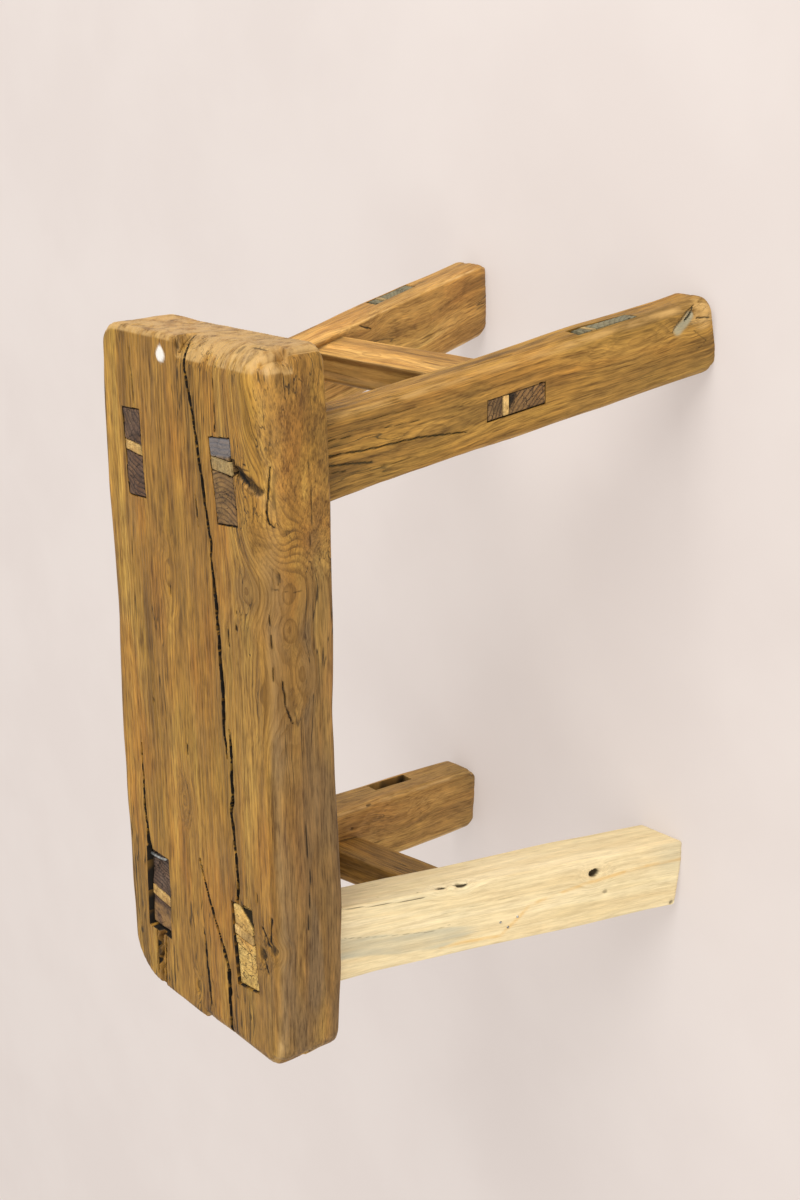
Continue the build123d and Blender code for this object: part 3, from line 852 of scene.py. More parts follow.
# %% Pits and gouges
pits = [  # x, y, half length, half width, depth, dirt
    (61.8, -48.9, 1.6, 0.9, 1.5, 1.0), (52.6, -48.5, 2.2, 0.9, 1.5, 1.0),
    (40.8, -40.3, 2.6, 1.0, 1.5, 0.9), (146.9, -51.6, 2.0, 1.9, 5.0, 1.0),
    (142.4, -52.2, 1.7, 1.8, 6.0, 1.0), (139.6, -54.5, 1.8, 1.2, 2.5, 0.9),
    (62.0, -81.2, 1.4, 0.8, 1.2, 0.7), (55.5, -80.8, 1.2, 0.8, 1.2, 0.6),
    (49.3, -80.4, 1.8, 1.0, 1.4, 0.8), (86.0, -78.0, 5.0, 0.7, 1.2, 0.5),
    (166.0, -72.5, 3.0, 0.6, 0.7, 0.5), (-144.8, -61.8, 4.8, 4.2, 1.2, 0.58),
    (-137.7, -72.6, 4.2, 4.2, 1.2, 0.54), (-194.6, 8.5, 5.8, 2.1, 0.8, 0.46),
    (60.5, 16.7, 3.4, 0.7, 0.9, 0.7), (-36.5, 7.0, 3.6, 0.9, 1.0, 0.9),
    (205.0, -62.0, 4.0, 3.0, 1.4, 0.38), (207.0, -50.0, 3.0, 2.5, 1.2, 0.45),
    (-15.0, 41.5, 2.2, 0.7, 0.8, 0.7), (-110.0, -58.0, 4.0, 0.8, 0.9, 0.7),
]
for order, (px, py, long, wide, deep, dirty) in enumerate(pits):
    ragged = 0.25 * lumps(seat_shape, (2.5, 1.5, 3), 90 + order)
    size = np.hypot((x - px) / long, (y - py) / wide) + ragged
    mask = (1 - ease(size, 0.6, 1.15)) * ease(seat_out[:, 2], 0.1, 0.4)
    shaped[:, 2] -= mask * deep
    seat_dirt = np.maximum(seat_dirt, mask * dirty)
print("pits in the top:", len(pits))

# %% [markdown]
# Scratches and small cracks are lines. The widest is the gouge beside the front tenon. A line on
# the top is a path of (x, y), and one on the front edge a path of (x, z). A line on the rounded
# edge between them is a path of (x, y, z) that is laid down as the camera sees it, so it fits
# whatever the rounding.

# %% Lines on the plank
top_lines = [  # path, half width, depth, dirt
    ([(143.3, -55.2), (138.7, -64.1), (133.9, -71.7)], 3.3, 2.0, 0.58),
    ([(142.0, -55.6), (137.0, -63.6)], 1.4, 1.0, 0.85),
    ([(145.6, -56.5), (145.6, -65.7)], 0.4, 0.5, 0.8),
    ([(149.0, -57.5), (148.2, -63)], 0.35, 0.4, 0.7),
    ([(91.7, -76.6), (78.9, -76.3)], 0.45, 0.6, 0.55),
    ([(-127.5, -62.4), (-132.6, -66.6), (-137, -67.5)], 1.0, 1.4, 0.95),
    ([(-117.8, -71.8), (-133.8, -69.9)], 0.9, 1.4, 0.95),
    ([(-148.9, -63.2), (-155.4, -66.4)], 1.1, 1.2, 0.9),
    ([(-168, 41.8), (-189, 44.6), (-210, 46.6)], 0.6, 2.5, 1.0),
    ([(-170, 52.2), (-181.5, 53.4), (-206, 54.4)], 0.5, 2.0, 1.0),
]
front_lines = [
    ([(26.4, 303.6), (21.8, 302.9), (11.1, 301.6), (1.2, 297.7)], 0.62, 1.3, 0.72),
    ([(80.3, 306.5), (77.7, 297.3), (76.2, 287.1)], 0.35, 0.3, 0.5),
    ([(148, 283), (120, 281.5), (96, 284)], 0.4, 0.5, 0.6),
    ([(-60, 292), (-96, 290.5), (-128, 293)], 0.45, 0.6, 0.7),
]
round_lines = [
    ([(148.3, -77.7, 306.5), (133.3, -76.6, 307.6), (123.7, -75.7, 308.5), (117.5, -76.5, 307.7),
      (114.8, -78.8, 305.4)], 0.45, 1.0, 0.72),
    ([(144.3, -79.3, 304.9), (125.1, -78.6, 305.6)], 1.5, 0.2, 0.42),
    ([(66.2, -75.3, 308.9), (60, -75.6, 308.7)], 0.36, 0.6, 0.62),
    ([(54.5, -75.9, 308.4), (46, -76, 308.2)], 0.38, 0.6, 0.6),
    ([(36, -76.2, 308), (27.2, -76.3, 307.9)], 0.34, 0.6, 0.58),
    ([(210, -57, 300.7), (210, -70, 300)], 0.45, 0.9, 0.6),
]
seen = np.array([camera_right, camera_up]).T
toward_camera = ease(seat_out @ np.array(camera_back), 0.2, 0.5)
round_lines = [(np.array(path) @ seen, *rest) for path, *rest in round_lines]
on_front = ease(-seat_out[:, 1], 0.2, 0.6)
line_groups = (
    (top_lines, seat_shape[:, :2], on_top),
    (front_lines, seat_shape[:, [0, 2]], on_front),
    (round_lines, seat_shape @ seen, toward_camera),
)
for lines, flat, facing in line_groups:
    for order, (path, wide, deep, dirty) in enumerate(lines):
        uneven = wide * (1 + 0.35 * lumps(seat_shape, (4, 4, 4), 140 + order))
        mask = (1 - ease(near_path(flat, path), uneven * 0.5, uneven + 0.4)) * facing
        shaped -= seat_out * (mask * deep)[:, None]
        seat_dirt = np.maximum(seat_dirt, mask * dirty)
print("lines on the plank:", sum(len(lines) for lines, *_ in line_groups))

# %% [markdown]
# Where a crack runs out of an end it is torn open, which leaves a notch: two in the left end and
# a small one in the right.

# %% Notches in the ends
left_notches = [  # y, half width, how far in, lowest place, dirt
    (-26.0, 1.4, 5.5, 294.5, 0.9),
    (49.6, 3.0, 9.0, 284.5, 0.35),
]
on_left_end, on_right_end = seat_out[:, 0] < -0.5, seat_out[:, 0] > 0.5
for middle, half, inward, lowest, dirty in left_notches:
    beside = ease(half + 0.4 - np.abs(y - middle), 0, 0.5)
    notch = beside * on_left_end * ease(z, lowest, lowest + 6)
    shaped[:, 0] += notch * inward
    seat_dirt = np.maximum(seat_dirt, notch * dirty)
right_notch = ease(0.8 - np.abs(y + 1.5), 0, 0.5) * on_right_end * ease(z, 298, 302)
shaped[:, 0] -= right_notch * 3
seat_dirt = np.maximum(seat_dirt, right_notch * 0.6)
print("deepest place under the top:", (seat_top - shaped[on_top > 0.9, 2].min()).round(1), "mm")

# %% [markdown]
# The marks go over last. Wear sits on the rounded edges, where the outward direction points along
# none of the three axes. The whole +X end, which faces the strong lamp, is painted in the worn tone
# as well: a painted highlight. The front edge has gone grey and dark from the back of the knee, and
# so has the patch by the ringed knot.

# %% Wear, painted highlight and grey on the plank
edge_share = 1 - np.abs(seat_out).max(axis=1)
seat_wear_and_highlight = ease(edge_share, 0.05, 0.25) * (0.65 + 0.5 * lumps(seat_shape, (22, 12, 12), 31))
seat_wear_and_highlight = seat_wear_and_highlight * (0.3 + 0.7 * ease(np.abs(x), 190, 205))
# The whole +X end, which faces the strong lamp, gets a painted highlight in the worn tone.
seat_wear_and_highlight = np.where(seat_out[:, 0] > 0.3, np.maximum(seat_wear_and_highlight, 0.8), seat_wear_and_highlight)
front_grey = ease(-seat_out[:, 1], 0.35, 0.9) * (0.75 + 0.4 * lumps(seat_shape, (50, 20, 9), 33))
front_grey = front_grey * (1 - 0.75 * ease(x, 50, 120))
by_knot = 1 - ease(np.hypot((x - 77) / 15, (y + 60) / 12), 0.75, 1.1)
end_grey = ease(seat_out[:, 0], 0.5, 0.9) * (1 - ease(y, -10, 40)) * 0.5
seat_grey = np.maximum(np.maximum(front_grey, end_grey), by_knot * 0.45)
seat_grey = seat_grey + 0.2 * lumps(seat_shape, (90, 14, 14), 34)
seat_grey = seat_grey + 0.22 * on_top * ease(-y, 15, 50) * (1 - ease(x, 60, 130))
print("share of the plank that is grey:", (seat_grey > 0.3).mean().round(2))

# %% [markdown]
# A pale drop has dried on the top near the right end: round, with a narrower side towards the
# end, and a third of a millimetre thick. Fine checks come mostly towards the ends of a plank,
# where it dries first. Near the front right corner the fibres run aslant.

# %% The dried drop, the checks and the fibres
drop_x, drop_y = x - 198, y - 14.3
drop_long = np.where(drop_x > 0, 5.6, 5.2)
drop_wide = np.where(drop_x > 0, 5.0 - drop_x * 0.5, 5.0)
drop = (1 - ease(np.hypot(drop_x / drop_long, drop_y / drop_wide), 0.75, 1.0)) * on_top
shaped[:, 2] += drop * 0.35
seat_checks = 0.3 * on_top * ease(np.abs(x), 60, 190) + 0.35
seat_checks = seat_checks + 0.45 * lumps(seat_shape, (70, 20, 20), 36)
aslant = 0.32 * ease(-y, 30, 70) * ease(x, 70, 120) * (x - 70)
grain_y = y + 6 * seat_near_knot - aslant
grain_z = z + 6 * seat_near_knot + aslant * 0.4
print("the fibres slant by up to", aslant.max().round(1), "mm")

# %% [markdown]
# The rings follow the slant of the fibres, and the plank is ready to be handed over.

# %% Store the plank
seat_numbers = {
    "grain": np.column_stack([x, grain_y, grain_z]),
    "rings": seat_rings - aslant / 3.0,
    "marks": np.column_stack([seat_dirt, seat_wear_and_highlight, seat_grey]),
    "signs": np.column_stack([seat_near_knot, seat_checks, drop * 0.9]),
}
hand_over(
    "seat_plank", shaped, seat_faces, seat_wood, "old_seat_wood", ["seat"], **seat_numbers
)

# %% [markdown]
# ## Where a leg is
#
# Every leg leans out in both directions and changes size a little on its way up. All shapes on a
# leg, such as its skin, its mortises and the ends that stand in them, are first drawn on an upright
# post of 46 by 34 mm, and one function then leans and swells them. So they stay together. The
# tables give the middle of each leg at the top of the seat and on the floor, and its size there
# as a share of the post. The new leg's shoulder was cut wide: under the seat it stands a little
# further out than its tenon.

# %% Where the legs begin and end
heads = {"front_right": (135.0, -42.0), "back_right": (136.5, 47.5),
         "front_left": (-147.0, -44.0), "back_left": (-145.95, 47.97)}
feet = {"front_right": (190.5, -106.5), "back_right": (189.94, 98.0),
        "front_left": (-176.25, -92.1), "back_left": (-189.4, 109.0)}
head_sizes = {"front_right": (1.04, 1.0), "back_right": (1.02, 1.08),
              "front_left": (1.04, 0.84), "back_left": (1.02, 1.04)}
foot_sizes = {"front_right": (0.99, 0.93), "back_right": (1.06, 0.9),
              "front_left": (1.0, 1.06), "back_left": (1.03, 0.86)}
shoulder_step = {"front_left": 3.6}
swell_heights = [0.0, 0.3, 0.62, 0.88, 1.0]
swell_wide = [1.0, 1.02, 0.98, 0.99, 1.05]
swell_deep = [1.0, 1.03, 1.0, 0.98, 1.02]
post_half = np.array([23.0, 17.0])
print("legs:", list(heads))

# %% [markdown]
# The feet are cut nearly square to the leg, so a splayed leg stands on the inner edge of its sole
# only. Three tenths of the sole lie on the floor, and from there it rises towards the outside.


# %% Lean a post into its leg
sole_lifts = {"front_right": 6.8, "back_right": 0.8, "front_left": 5.2, "back_left": 2.0}
flat_share = 0.3
foot_height = 26.0


def end_side(name):
    """1 for a leg at the right end, -1 for one at the left."""
    return 1 if name.endswith("right") else -1


def between(low, high, part, whole=1.0):
    """The value that lies at a part of the whole way from low to high."""
    return np.array(low) + (np.array(high) - np.array(low)) * part / whole


def shoulder_shift(name, height):
    """How far outwards a leg stands from its tenon's line, at a height."""
    return shoulder_step.get(name, 0) * height / seat_under


def lean(points, name):
    """Points of the upright post, carried into the leg."""
    height = points[:, 2:3]
    share = np.clip(height / seat_under, 0, 1)
    middle = between(feet[name], heads[name], height, seat_top)
    middle[:, :1] -= shoulder_shift(name, np.clip(height, 0, seat_under))
    size = between(foot_sizes[name], head_sizes[name], share)
    swells = [np.interp(share[:, 0], swell_heights, swell) for swell in (swell_wide, swell_deep)]
    leaned = np.column_stack([middle + points[:, :2] * size * np.column_stack(swells), height])
    foot_width = 2 * post_half[0] * foot_sizes[name][0]
    outwards = end_side(name) * (leaned[:, 0] - feet[name][0]) / foot_width
    rise = np.clip((outwards + 0.5 - flat_share) / (1 - flat_share), 0, 1.1)
    leaned[:, 2] += sole_lifts[name] * rise * np.clip(1 - points[:, 2] / foot_height, 0, 1)
    return leaned


print("a leg leans", round(math.degrees(math.atan2(55, 310)), 1), "degrees along the seat")

# %% [markdown]
# ## Openings in the legs
#
# An opening is a rectangle on one face of the post: the face, its middle, half its size, its
# height and its depth. The old legs have a shallow one where the stretcher's tenon comes through,
# one where the stub of a lost rail sits, and the empty inner half of that rail's mortise.

# %% The openings: face axis, side, middle across, half width, low, high, depth
openings = {
    "front_right": [
        ("y", -1, -2.6, 6.2, 121.8, 160.6, 4.0),
        ("x", 1, -5.3, 5.5, 53.9, 95.4, 5.0),
        ("x", -1, -5.3, 5.7, 53.9, 94.9, 19.0),
    ],
    "back_right": [
        ("y", 1, 9.0, 6.1, 150.8, 179.6, 4.0),
        ("x", 1, 3.9, 5.6, 62.1, 102.4, 5.0),
        ("x", -1, 3.9, 5.7, 62.1, 102.4, 19.0),
    ],
    "front_left": [],
    "back_left": [
        ("y", 1, -8.7, 6.1, 143.9, 173.7, 4.0),
        ("x", -1, 5.8, 5.4, 61.3, 101.5, 5.0),
        ("x", 1, 5.8, 5.4, 61.3, 101.5, 19.0),
    ],
}


def post_lines(name):
    """Where the lines of a leg's box lie: close pairs at the rims of its openings."""
    rims = {"x": set(), "y": set(), "z": set()}
    for axis, _, middle, half, low, high, _ in openings[name]:
        rims["xy".replace(axis, "")].update((middle - half, middle + half))
        rims["z"].update((low, high))
    xs = spread(-post_half[0], post_half[0], 0.85, [], sorted(rims["x"]))
    ys = spread(-post_half[1], post_half[1], 1.1, [], sorted(rims["y"]))
    zs = spread(0, 269.5, 1.5, [(0, 36, 1.1)], sorted(rims["z"]))
    return xs, ys, zs


print("openings in all:", sum(len(group) for group in openings.values()))

# %% [markdown]
# ## The skin of a leg
#
# The old legs were hewn, so their edges are round and their faces uneven, and each has lost a
# little of its toe. The new leg came off a saw with crisp edges. Marks are places again: cracks
# near the seat, holes, chips at the foot. They are pressed straight into the face they lie on.

# %% Dents in the legs
dents = {  # face axis, side, middle across, height, half width, half height, depth, dirt
    "front_right": [
        ("y", -1, 2.8, 125.2, 1.2, 1.2, 5.5, 1.0), ("y", -1, 15.6, 11.0, 7.0, 6.5, 1.6, 0.05),
        ("y", -1, 12, 30, 6, 9, 0.5, 0.05), ("y", -1, 20.5, 5.0, 1.4, 4.0, 1.4, 0.3),
    ],
    "back_right": [
        ("y", -1, 14, 234.5, 1.0, 16, 1.2, 0.9), ("y", -1, 6, 248.5, 0.8, 12, 1.0, 0.8),
        ("x", 1, -8, 180.5, 1.4, 10, 1.0, 0.8), ("y", -1, -6, 62.5, 0.7, 22, 0.6, 0.5),
        ("x", 1, 2, 4, 3.0, 3.0, 1.8, 0.7),
    ],
    "front_left": [
        ("y", -1, 11.1, 72.3, 3.1, 4.8, 4.0, 1.0), ("y", -1, -3.2, 63, 2.2, 3.6, 0.5, 0.5),
        ("x", 1, -14.4, 173.1, 2.4, 5.0, 2.6, 1.0), ("y", -1, 20.6, 173.1, 2.0, 4.6, 1.6, 1.0),
        ("x", 1, -14.6, 187.1, 2.2, 4.4, 1.4, 0.8), ("y", -1, 21, 187.1, 1.6, 4.0, 1.0, 0.8),
        ("x", 1, -14.4, 202.8, 1.2, 1.8, 0.7, 0.5), ("x", 1, -10, 228.5, 0.6, 2.0, 0.6, 0.6),
        ("y", -1, -21, 3.0, 2.4, 3.0, 1.0, 0.5),
    ],
    "back_left": [
        ("y", -1, 6, 234.5, 1.6, 8, 1.4, 0.8), ("y", -1, -6, 208.5, 1.2, 12, 1.2, 0.8),
        ("y", -1, 12, 192.5, 1.0, 10, 1.0, 0.7), ("x", 1, -9, 192.5, 2.0, 3.0, 1.4, 0.9),
        ("y", -1, -8, 120.5, 0.8, 14, 0.8, 0.5), ("y", -1, 21.5, 124, 1.8, 3.2, 0.8, 0.5),
        ("y", -1, 8.4, 143.7, 1.4, 2.8, 0.8, 0.55),
    ],
}
print("dents:", sum(len(group) for group in dents.values()))

# %% [markdown]
# Most lines are drying cracks that come down from under the seat. The dark ones at the front
# right foot run round its chip, and the faint ones on the new leg are its growth lines.

# %% Lines on the legs
leg_lines = {  # face axis, side, a path of (across, height), half width, depth, dirt
    "front_right": [
        ("y", -1, [(1.5, 263), (0.3, 250.8), (-1.3, 241.6), (-2.5, 229.2), (-3.4, 216.7),
                   (-4.6, 204.2), (-6.9, 191.5), (-10, 174.1)], 0.5, 1.1, 0.68),
        ("y", -1, [(-3.1, 263), (-5.9, 247.9), (-9.3, 233.6)], 0.5, 0.9, 0.68),
        ("y", -1, [(9.6, 263), (8.1, 246.3)], 0.4, 0.7, 0.6),
        ("y", -1, [(-6.8, 263), (-8.7, 251.1)], 0.45, 0.8, 0.6),
        ("y", -1, [(7, 226.5), (5.8, 216.6), (5, 204.1)], 0.3, 0.5, 0.55),
        ("y", -1, [(14.2, 240), (13, 218), (12.4, 206)], 0.4, 0.6, 0.5),
        ("y", -1, [(-13, 228), (-14.2, 205)], 0.4, 0.6, 0.5),
        ("x", 1, [(10, 205), (11, 172)], 0.5, 0.7, 0.7),
        ("x", 1, [(-4, 168), (-6, 136)], 0.45, 0.6, 0.7),
        ("y", -1, [(8, 33.3), (13.3, 28.4), (18.7, 21.4), (21.5, 14.3)], 0.5, 0.7, 0.6),
        ("y", -1, [(21.5, 14.2), (17.3, 18.4), (13.4, 24)], 0.7, 1.0, 0.9),
        ("y", -1, [(5.5, 17.1), (-3.3, 7), (-7.2, 15)], 0.4, 0.5, 0.5),
        ("y", -1, [(12, 14), (10, 3)], 0.4, 0.6, 0.7),
    ],
    "back_right": [
        ("y", -1, [(20, 132), (17, 126), (15, 121)], 0.5, 0.6, 0.7),
        ("x", 1, [(-10, 236), (-9, 214), (-11, 196)], 0.5, 0.7, 0.7),
    ],
    "front_left": [
        ("y", -1, [(18.5, 262), (17.5, 240), (16.8, 214), (16.6, 200)], 0.3, 0.5, 0.6),
        ("y", -1, [(-0.2, 255.5), (-3.7, 231.4), (-7.1, 196.3), (-5.1, 181.8)], 0.25, 0.2, 0.45),
        ("y", -1, [(3.1, 189), (4.7, 159.9), (6.2, 130.1)], 0.25, 0.2, 0.4),
        ("x", 1, [(-13.4, 142.4), (-14.6, 98.5), (-15, 37.9)], 0.3, 0.2, 0.3),
    ],
    "back_left": [
        ("x", 1, [(-12, 236), (-11, 204)], 0.5, 0.7, 0.8),
        ("y", -1, [(2, 262), (0, 246)], 0.6, 1.0, 0.9),
    ],
}
print("lines on the legs:", sum(len(group) for group in leg_lines.values()))

# %% [markdown]
# First the bare post. Its long edges are rolled round, by 5.6 mm for the old legs and 1.3 for the
# sawn one, with a few corners of their own. The two right legs are a little thicker towards the
# middle of the stool. The toe is drawn in on all sides, and the sole's two outer edges are round.

# %% The edges of the legs
sole_rounding = {  # radius at the +X and at the -X edge of the sole
    "front_right": (2, 3), "back_right": (5, 3), "front_left": (0.5, 0.5), "back_left": (9, 5),
}
corner_sizes = {  # radius by leg, then by the signs of the corner's X and Y
    "front_right": {(1, 1): 12.0, (1, -1): 9.0},
    "back_right": {(1, -1): 2.8, (1, 1): 9.0},
}
inner_growth = 1.06


def rounded_post(name, order):
    """Points of the box, the rounded and worn post, its faces and its outward directions."""
    new = name == "front_left"
    points, faces = box_of_quads(*post_lines(name))
    radius = np.full(len(points), 1.3 if new else 5.6)
    for (sign_x, sign_y), size in corner_sizes.get(name, {}).items():
        at_corner = (sign_x * points[:, 0] > 0) & (sign_y * points[:, 1] > 0)
        radius = np.where(at_corner, size, radius)
    radius = radius * (1 + (0.0 if new else 0.18) * lumps(points, (20, 20, 40), 60 + order))
    shape, out = roll_round(points, np.array([*post_half, 0.0]), radius, (0, 1))
    if name.endswith("right"):
        shape[:, 0] = np.where(shape[:, 0] < 0, shape[:, 0] * inner_growth, shape[:, 0])
    toe_height, toe_loss = (1.6, 0.7) if new else (7.0, 1.8)
    toe = (1 - np.clip(points[:, 2] / toe_height, 0, 1)) ** 1.8 * toe_loss
    shape[:, :2] *= 1 - toe[:, None] / 20
    for sign, round_by in zip((1, -1), sole_rounding[name]):
        start = post_half[0] - round_by
        a = sign * shape[:, 0] - start
        b = round_by - points[:, 2]
        curved, shrink = draw_in(a, b)
        shape[:, 0] = np.where(curved, sign * (start + a * shrink), shape[:, 0])
        shape[:, 2] = np.where(curved, round_by - b * shrink, shape[:, 2])
    return points, shape, faces, out


print("a toe is drawn in by up to", round(post_half[0] * 1.8 / 20, 1), "mm")

# %% [markdown]
# Then everything that is pressed in: openings, dents and lines. Each works on one face only, and
# each leaves dirt. The new leg stands a little further out than its tenon, but the marks on its
# front face were measured from the tenon's line, so they are slid back by as much.


# %% Press marks into a leg
def face_mask(points, out, axis, side):
    """The number of a face's axis, and 1 on that face and 0 on the others and on the sole."""
    number = "xy".index(axis)
    return number, ease(side * out[:, number], 0.3, 0.7) * (points[:, 2] > 0)


def press_openings(name, order, points, shape, dirt):
    """Push the inside of each opening in, and darken it and its rim."""
    height = points[:, 2]
    for axis, side, middle, half_wide, low, high, depth in openings[name]:
        number = "xy".index(axis)
        on_face = points[:, number] == side * post_half[number]
        beyond = np.abs(points[:, 1 - number] - middle) - half_wide
        gap = np.maximum(beyond, np.maximum(low - height, height - high))
        inside = on_face & (gap < 0)
        shape[inside, number] -= side * depth
        dirt[inside] = 1.0
        rim_dirt = 0.25 + 0.35 * lumps(points, (5, 5, 7), 190 + order)
        rim = on_face * (1 - ease(np.abs(gap), 0.1, 1.2)) * rim_dirt
        np.maximum(dirt, rim, out=dirt)


def leg_skin(name):
    """The points, outward directions and dirt of one leg, still as an upright post."""
    order = list(heads).index(name)
    points, shape, faces, out = rounded_post(name, order)
    dirt = np.zeros(len(points))
    slide = shoulder_shift(name, points[:, 2])
    press_openings(name, order, points, shape, dirt)
    for count, (axis, side, middle, height, wide, tall, depth, dirty) in enumerate(dents[name]):
        number, facing = face_mask(points, out, axis, side)
        across = shape[:, 1 - number] - slide * number
        size = np.hypot((across - middle) / wide, (points[:, 2] - height) / tall)
        size = size + 0.22 * lumps(points, (2.2, 2.2, 5), 200 + 20 * order + count)
        mask = (1 - ease(size, 0.55, 1.1)) * facing
        shape[:, number] -= side * mask * depth
        dirt = np.maximum(dirt, mask * dirty)
    for count, (axis, side, path, wide, depth, dirty) in enumerate(leg_lines[name]):
        number, facing = face_mask(points, out, axis, side)
        uneven = wide * (1 + 0.5 * lumps(points, (3, 3, 9), 240 + 20 * order + count))
        flat = np.column_stack([points[:, 1 - number] - slide * number, points[:, 2]])
        mask = (1 - ease(near_path(flat, path), uneven * 0.5, uneven + 0.35)) * facing
        shape[:, number] -= side * mask * depth
        dirt = np.maximum(dirt, mask * dirty)
    return points, shape, faces, out, dirt


print("marks are pressed into", sum(1 for name in heads if dents[name]), "legs")

# %% [markdown]
# The rings of a leg run out from a pith beside it, so its faces show long straight lines and its
# foot shows arcs. Knots are given in the log, with the height first.

# %% Rings and knots of the legs
leg_piths = {"front_right": (-60, 34), "back_right": (44, -52),
             "front_left": (-70, 46), "back_left": (30, 60)}
leg_knots = {  # height, x, y, reach, ring spacing, pull along the grain
    "front_right": [(12, 16, -17, 14, 2.8, 1.6), (196, -4, -17, 16, 3.4, 2.4),
                    (60, 10, -17, 12, 3.0, 2.6)],
    "back_right": [(70, 4, -17, 18, 3.6, 2.0), (126, 19, -15, 12, 2.6, 1.6)],
    "front_left": [(173.1, 23, -14, 7, 2.2, 1.5), (187.1, 23, -14, 5, 2.0, 1.4),
                   (72, 11, -17, 7, 2.4, 1.5)],
    "back_left": [(206, -4, -17, 12, 3.0, 1.8), (90, 6, -17, 14, 3.6, 2.2)],
}
print("knots in the legs:", sum(len(group) for group in leg_knots.values()))

# %% [markdown]
# Some marks are colour only. The new leg's blue stain runs down from the seat between two edges,
# and its orange growth line is wear in its own colour. The old legs are dirty and cracked near
# the seat, and the front right one has a chip at its foot that shows fresh wood.


# %% Colour marks of the legs
def new_leg_marks(points, flat, on_front, wear):
    """The stain and the wear of the new leg. Flat is the place on its front face."""
    height = points[:, 2]
    upper = np.interp(height, [159.9, 181.8, 217.5, 255.5], [-9.2, -6.5, -4.4, 1.0])
    lower = np.interp(height, [167.3, 189.2, 217.7, 255.9], [-14.8, -19.5, -18.5, -13.4])
    stain = ease(upper - flat[:, 0], -0.5, 1.5) * ease(flat[:, 0] - lower, -0.5, 1.5)
    mottled = 0.5 + 0.4 * lumps(points, (2.2, 2.2, 26), 103)
    stain = stain * ease(height, 155, 172) * on_front * mottled
    foot_shade = (1 - ease(height, 8, 36)) * ease(points[:, 0], 0, 8) * on_front * 0.25
    orange = [(-18.3, 190), (-18.3, 167.3), (-19, 144.9), (-2.1, 122.4),
              (2.2, 99.3), (5.8, 67.7), (9.5, 35.1), (10.4, 1.4)]
    growth_line = (1 - ease(near_path(flat, orange), 0.3, 1.7)) * on_front * 0.75
    return np.maximum(stain, foot_shade), np.maximum(wear * 0.2, growth_line)


def chip_marks(points, flat, on_front):
    """Where the chip at the front right foot is, and the blue mark beside it."""
    chip = np.hypot((points[:, 0] - 14) / 11, (points[:, 2] - 9) / 14)
    blue = near_path(flat, [(8.9, 29.7), (12, 25), (15.5, 20.5)])
    return (1 - ease(chip, 0.7, 1.0)) * on_front, (1 - ease(blue, 1.8, 4.0)) * on_front


def leg_marks(name, order, points, out, dirt, near_knot):
    """What the wood finish reads for a leg: its marks and its signs."""
    new = name == "front_left"
    height = points[:, 2]
    on_front = out[:, 1] < -0.3
    flat = points[:, [0, 2]] + 0.8 * lumps(points, (9, 9, 26), 99 + order)[:, None]
    flat[:, 0] -= shoulder_shift(name, height)
    edge = 1 - np.abs(out).max(axis=1)
    wear = ease(edge, 0.05, 0.25) * (0.6 + 0.5 * lumps(points, (15, 15, 30), 90 + order))
    grey = 0.3 * lumps(points, (20, 20, 60), 95 + order)
    if new:
        stain, wear = new_leg_marks(points, flat, on_front, wear)
        grey = grey * 0.4
        checks = np.full(len(points), -0.5)
    else:
        grey = grey + 0.25 * (1 - ease(height, 0, 40))
        near_seat = ease(height, 227, 264) * ease(lumps(points, (3, 3, 40), 97 + order), 0.1, 0.6)
        dirt = np.maximum(dirt, near_seat * 0.55)
        stain = np.zeros(len(points))
        checks = 0.25 + 0.35 * ease(height, 150, 240)
        checks = checks + 0.4 * lumps(points, (15, 15, 60), 98 + order)
    if name == "back_left":
        grey = grey + 0.4
    if name == "front_right":
        chip, blue = chip_marks(points, flat, on_front)
        wear, checks = np.maximum(wear, chip), np.maximum(checks, chip)
        stain = np.maximum(stain, blue * 0.7)
    marks = np.column_stack([np.maximum(dirt, 0.15 * near_knot), wear, grey])
    return marks, np.column_stack([0.22 * near_knot, checks, stain])


print("the stain is", 255.5 - 159.9, "mm long")

# %% [markdown]
# Each leg comes from a place of its own in the log, so no two show the same grain.


# %% Make the four legs
def make_leg(name):
    """Shape one leg, mark it, lean it and hand it over."""
    new = name == "front_left"
    order = list(heads).index(name)
    points, shape, faces, out, dirt = leg_skin(name)
    log = points[:, [2, 0, 1]]
    spacing = 4.6 if new else 3.2
    rings, near_knot = count_rings(log, leg_piths[name], spacing, leg_knots[name], 300 + 10 * order)
    uneven = 0.2 if new else 0.75
    bulge = uneven * lumps(points, (24, 24, 48), 70 + order)
    bulge = bulge + 0.35 * uneven * lumps(points, (9, 9, 20), 80 + order)
    bulge = bulge + 0.1 * np.cos(2 * math.pi * rings)
    shape = shape + out * (bulge - 0.3 * uneven)[:, None]
    marks, signs = leg_marks(name, order, points, out, dirt, near_knot)
    grain = log + np.array([40.0 + 400 * order, 90.0 * order, 55.0 * order])
    grain = grain + 5 * near_knot[:, None]
    finish = new_wood if new else leg_wood if name == "front_right" else pale_leg_wood
    slot = "new_leg_wood" if new else "old_leg_wood"
    node = "leg_" + name
    hand_over(node, lean(shape, name), faces, finish, slot, [node], grain, rings, marks, signs)


for leg_name in heads:
    make_leg(leg_name)

# %% [markdown]
# ## Blocks for joints
#
# A tenon head, a wedge and a broken stub are all small blocks whose end is what one sees. A block
# is drawn with its end facing up, roughened, and then carried to its place by a function. Its
# rings run out from a pith beside it, so the end shows arcs.


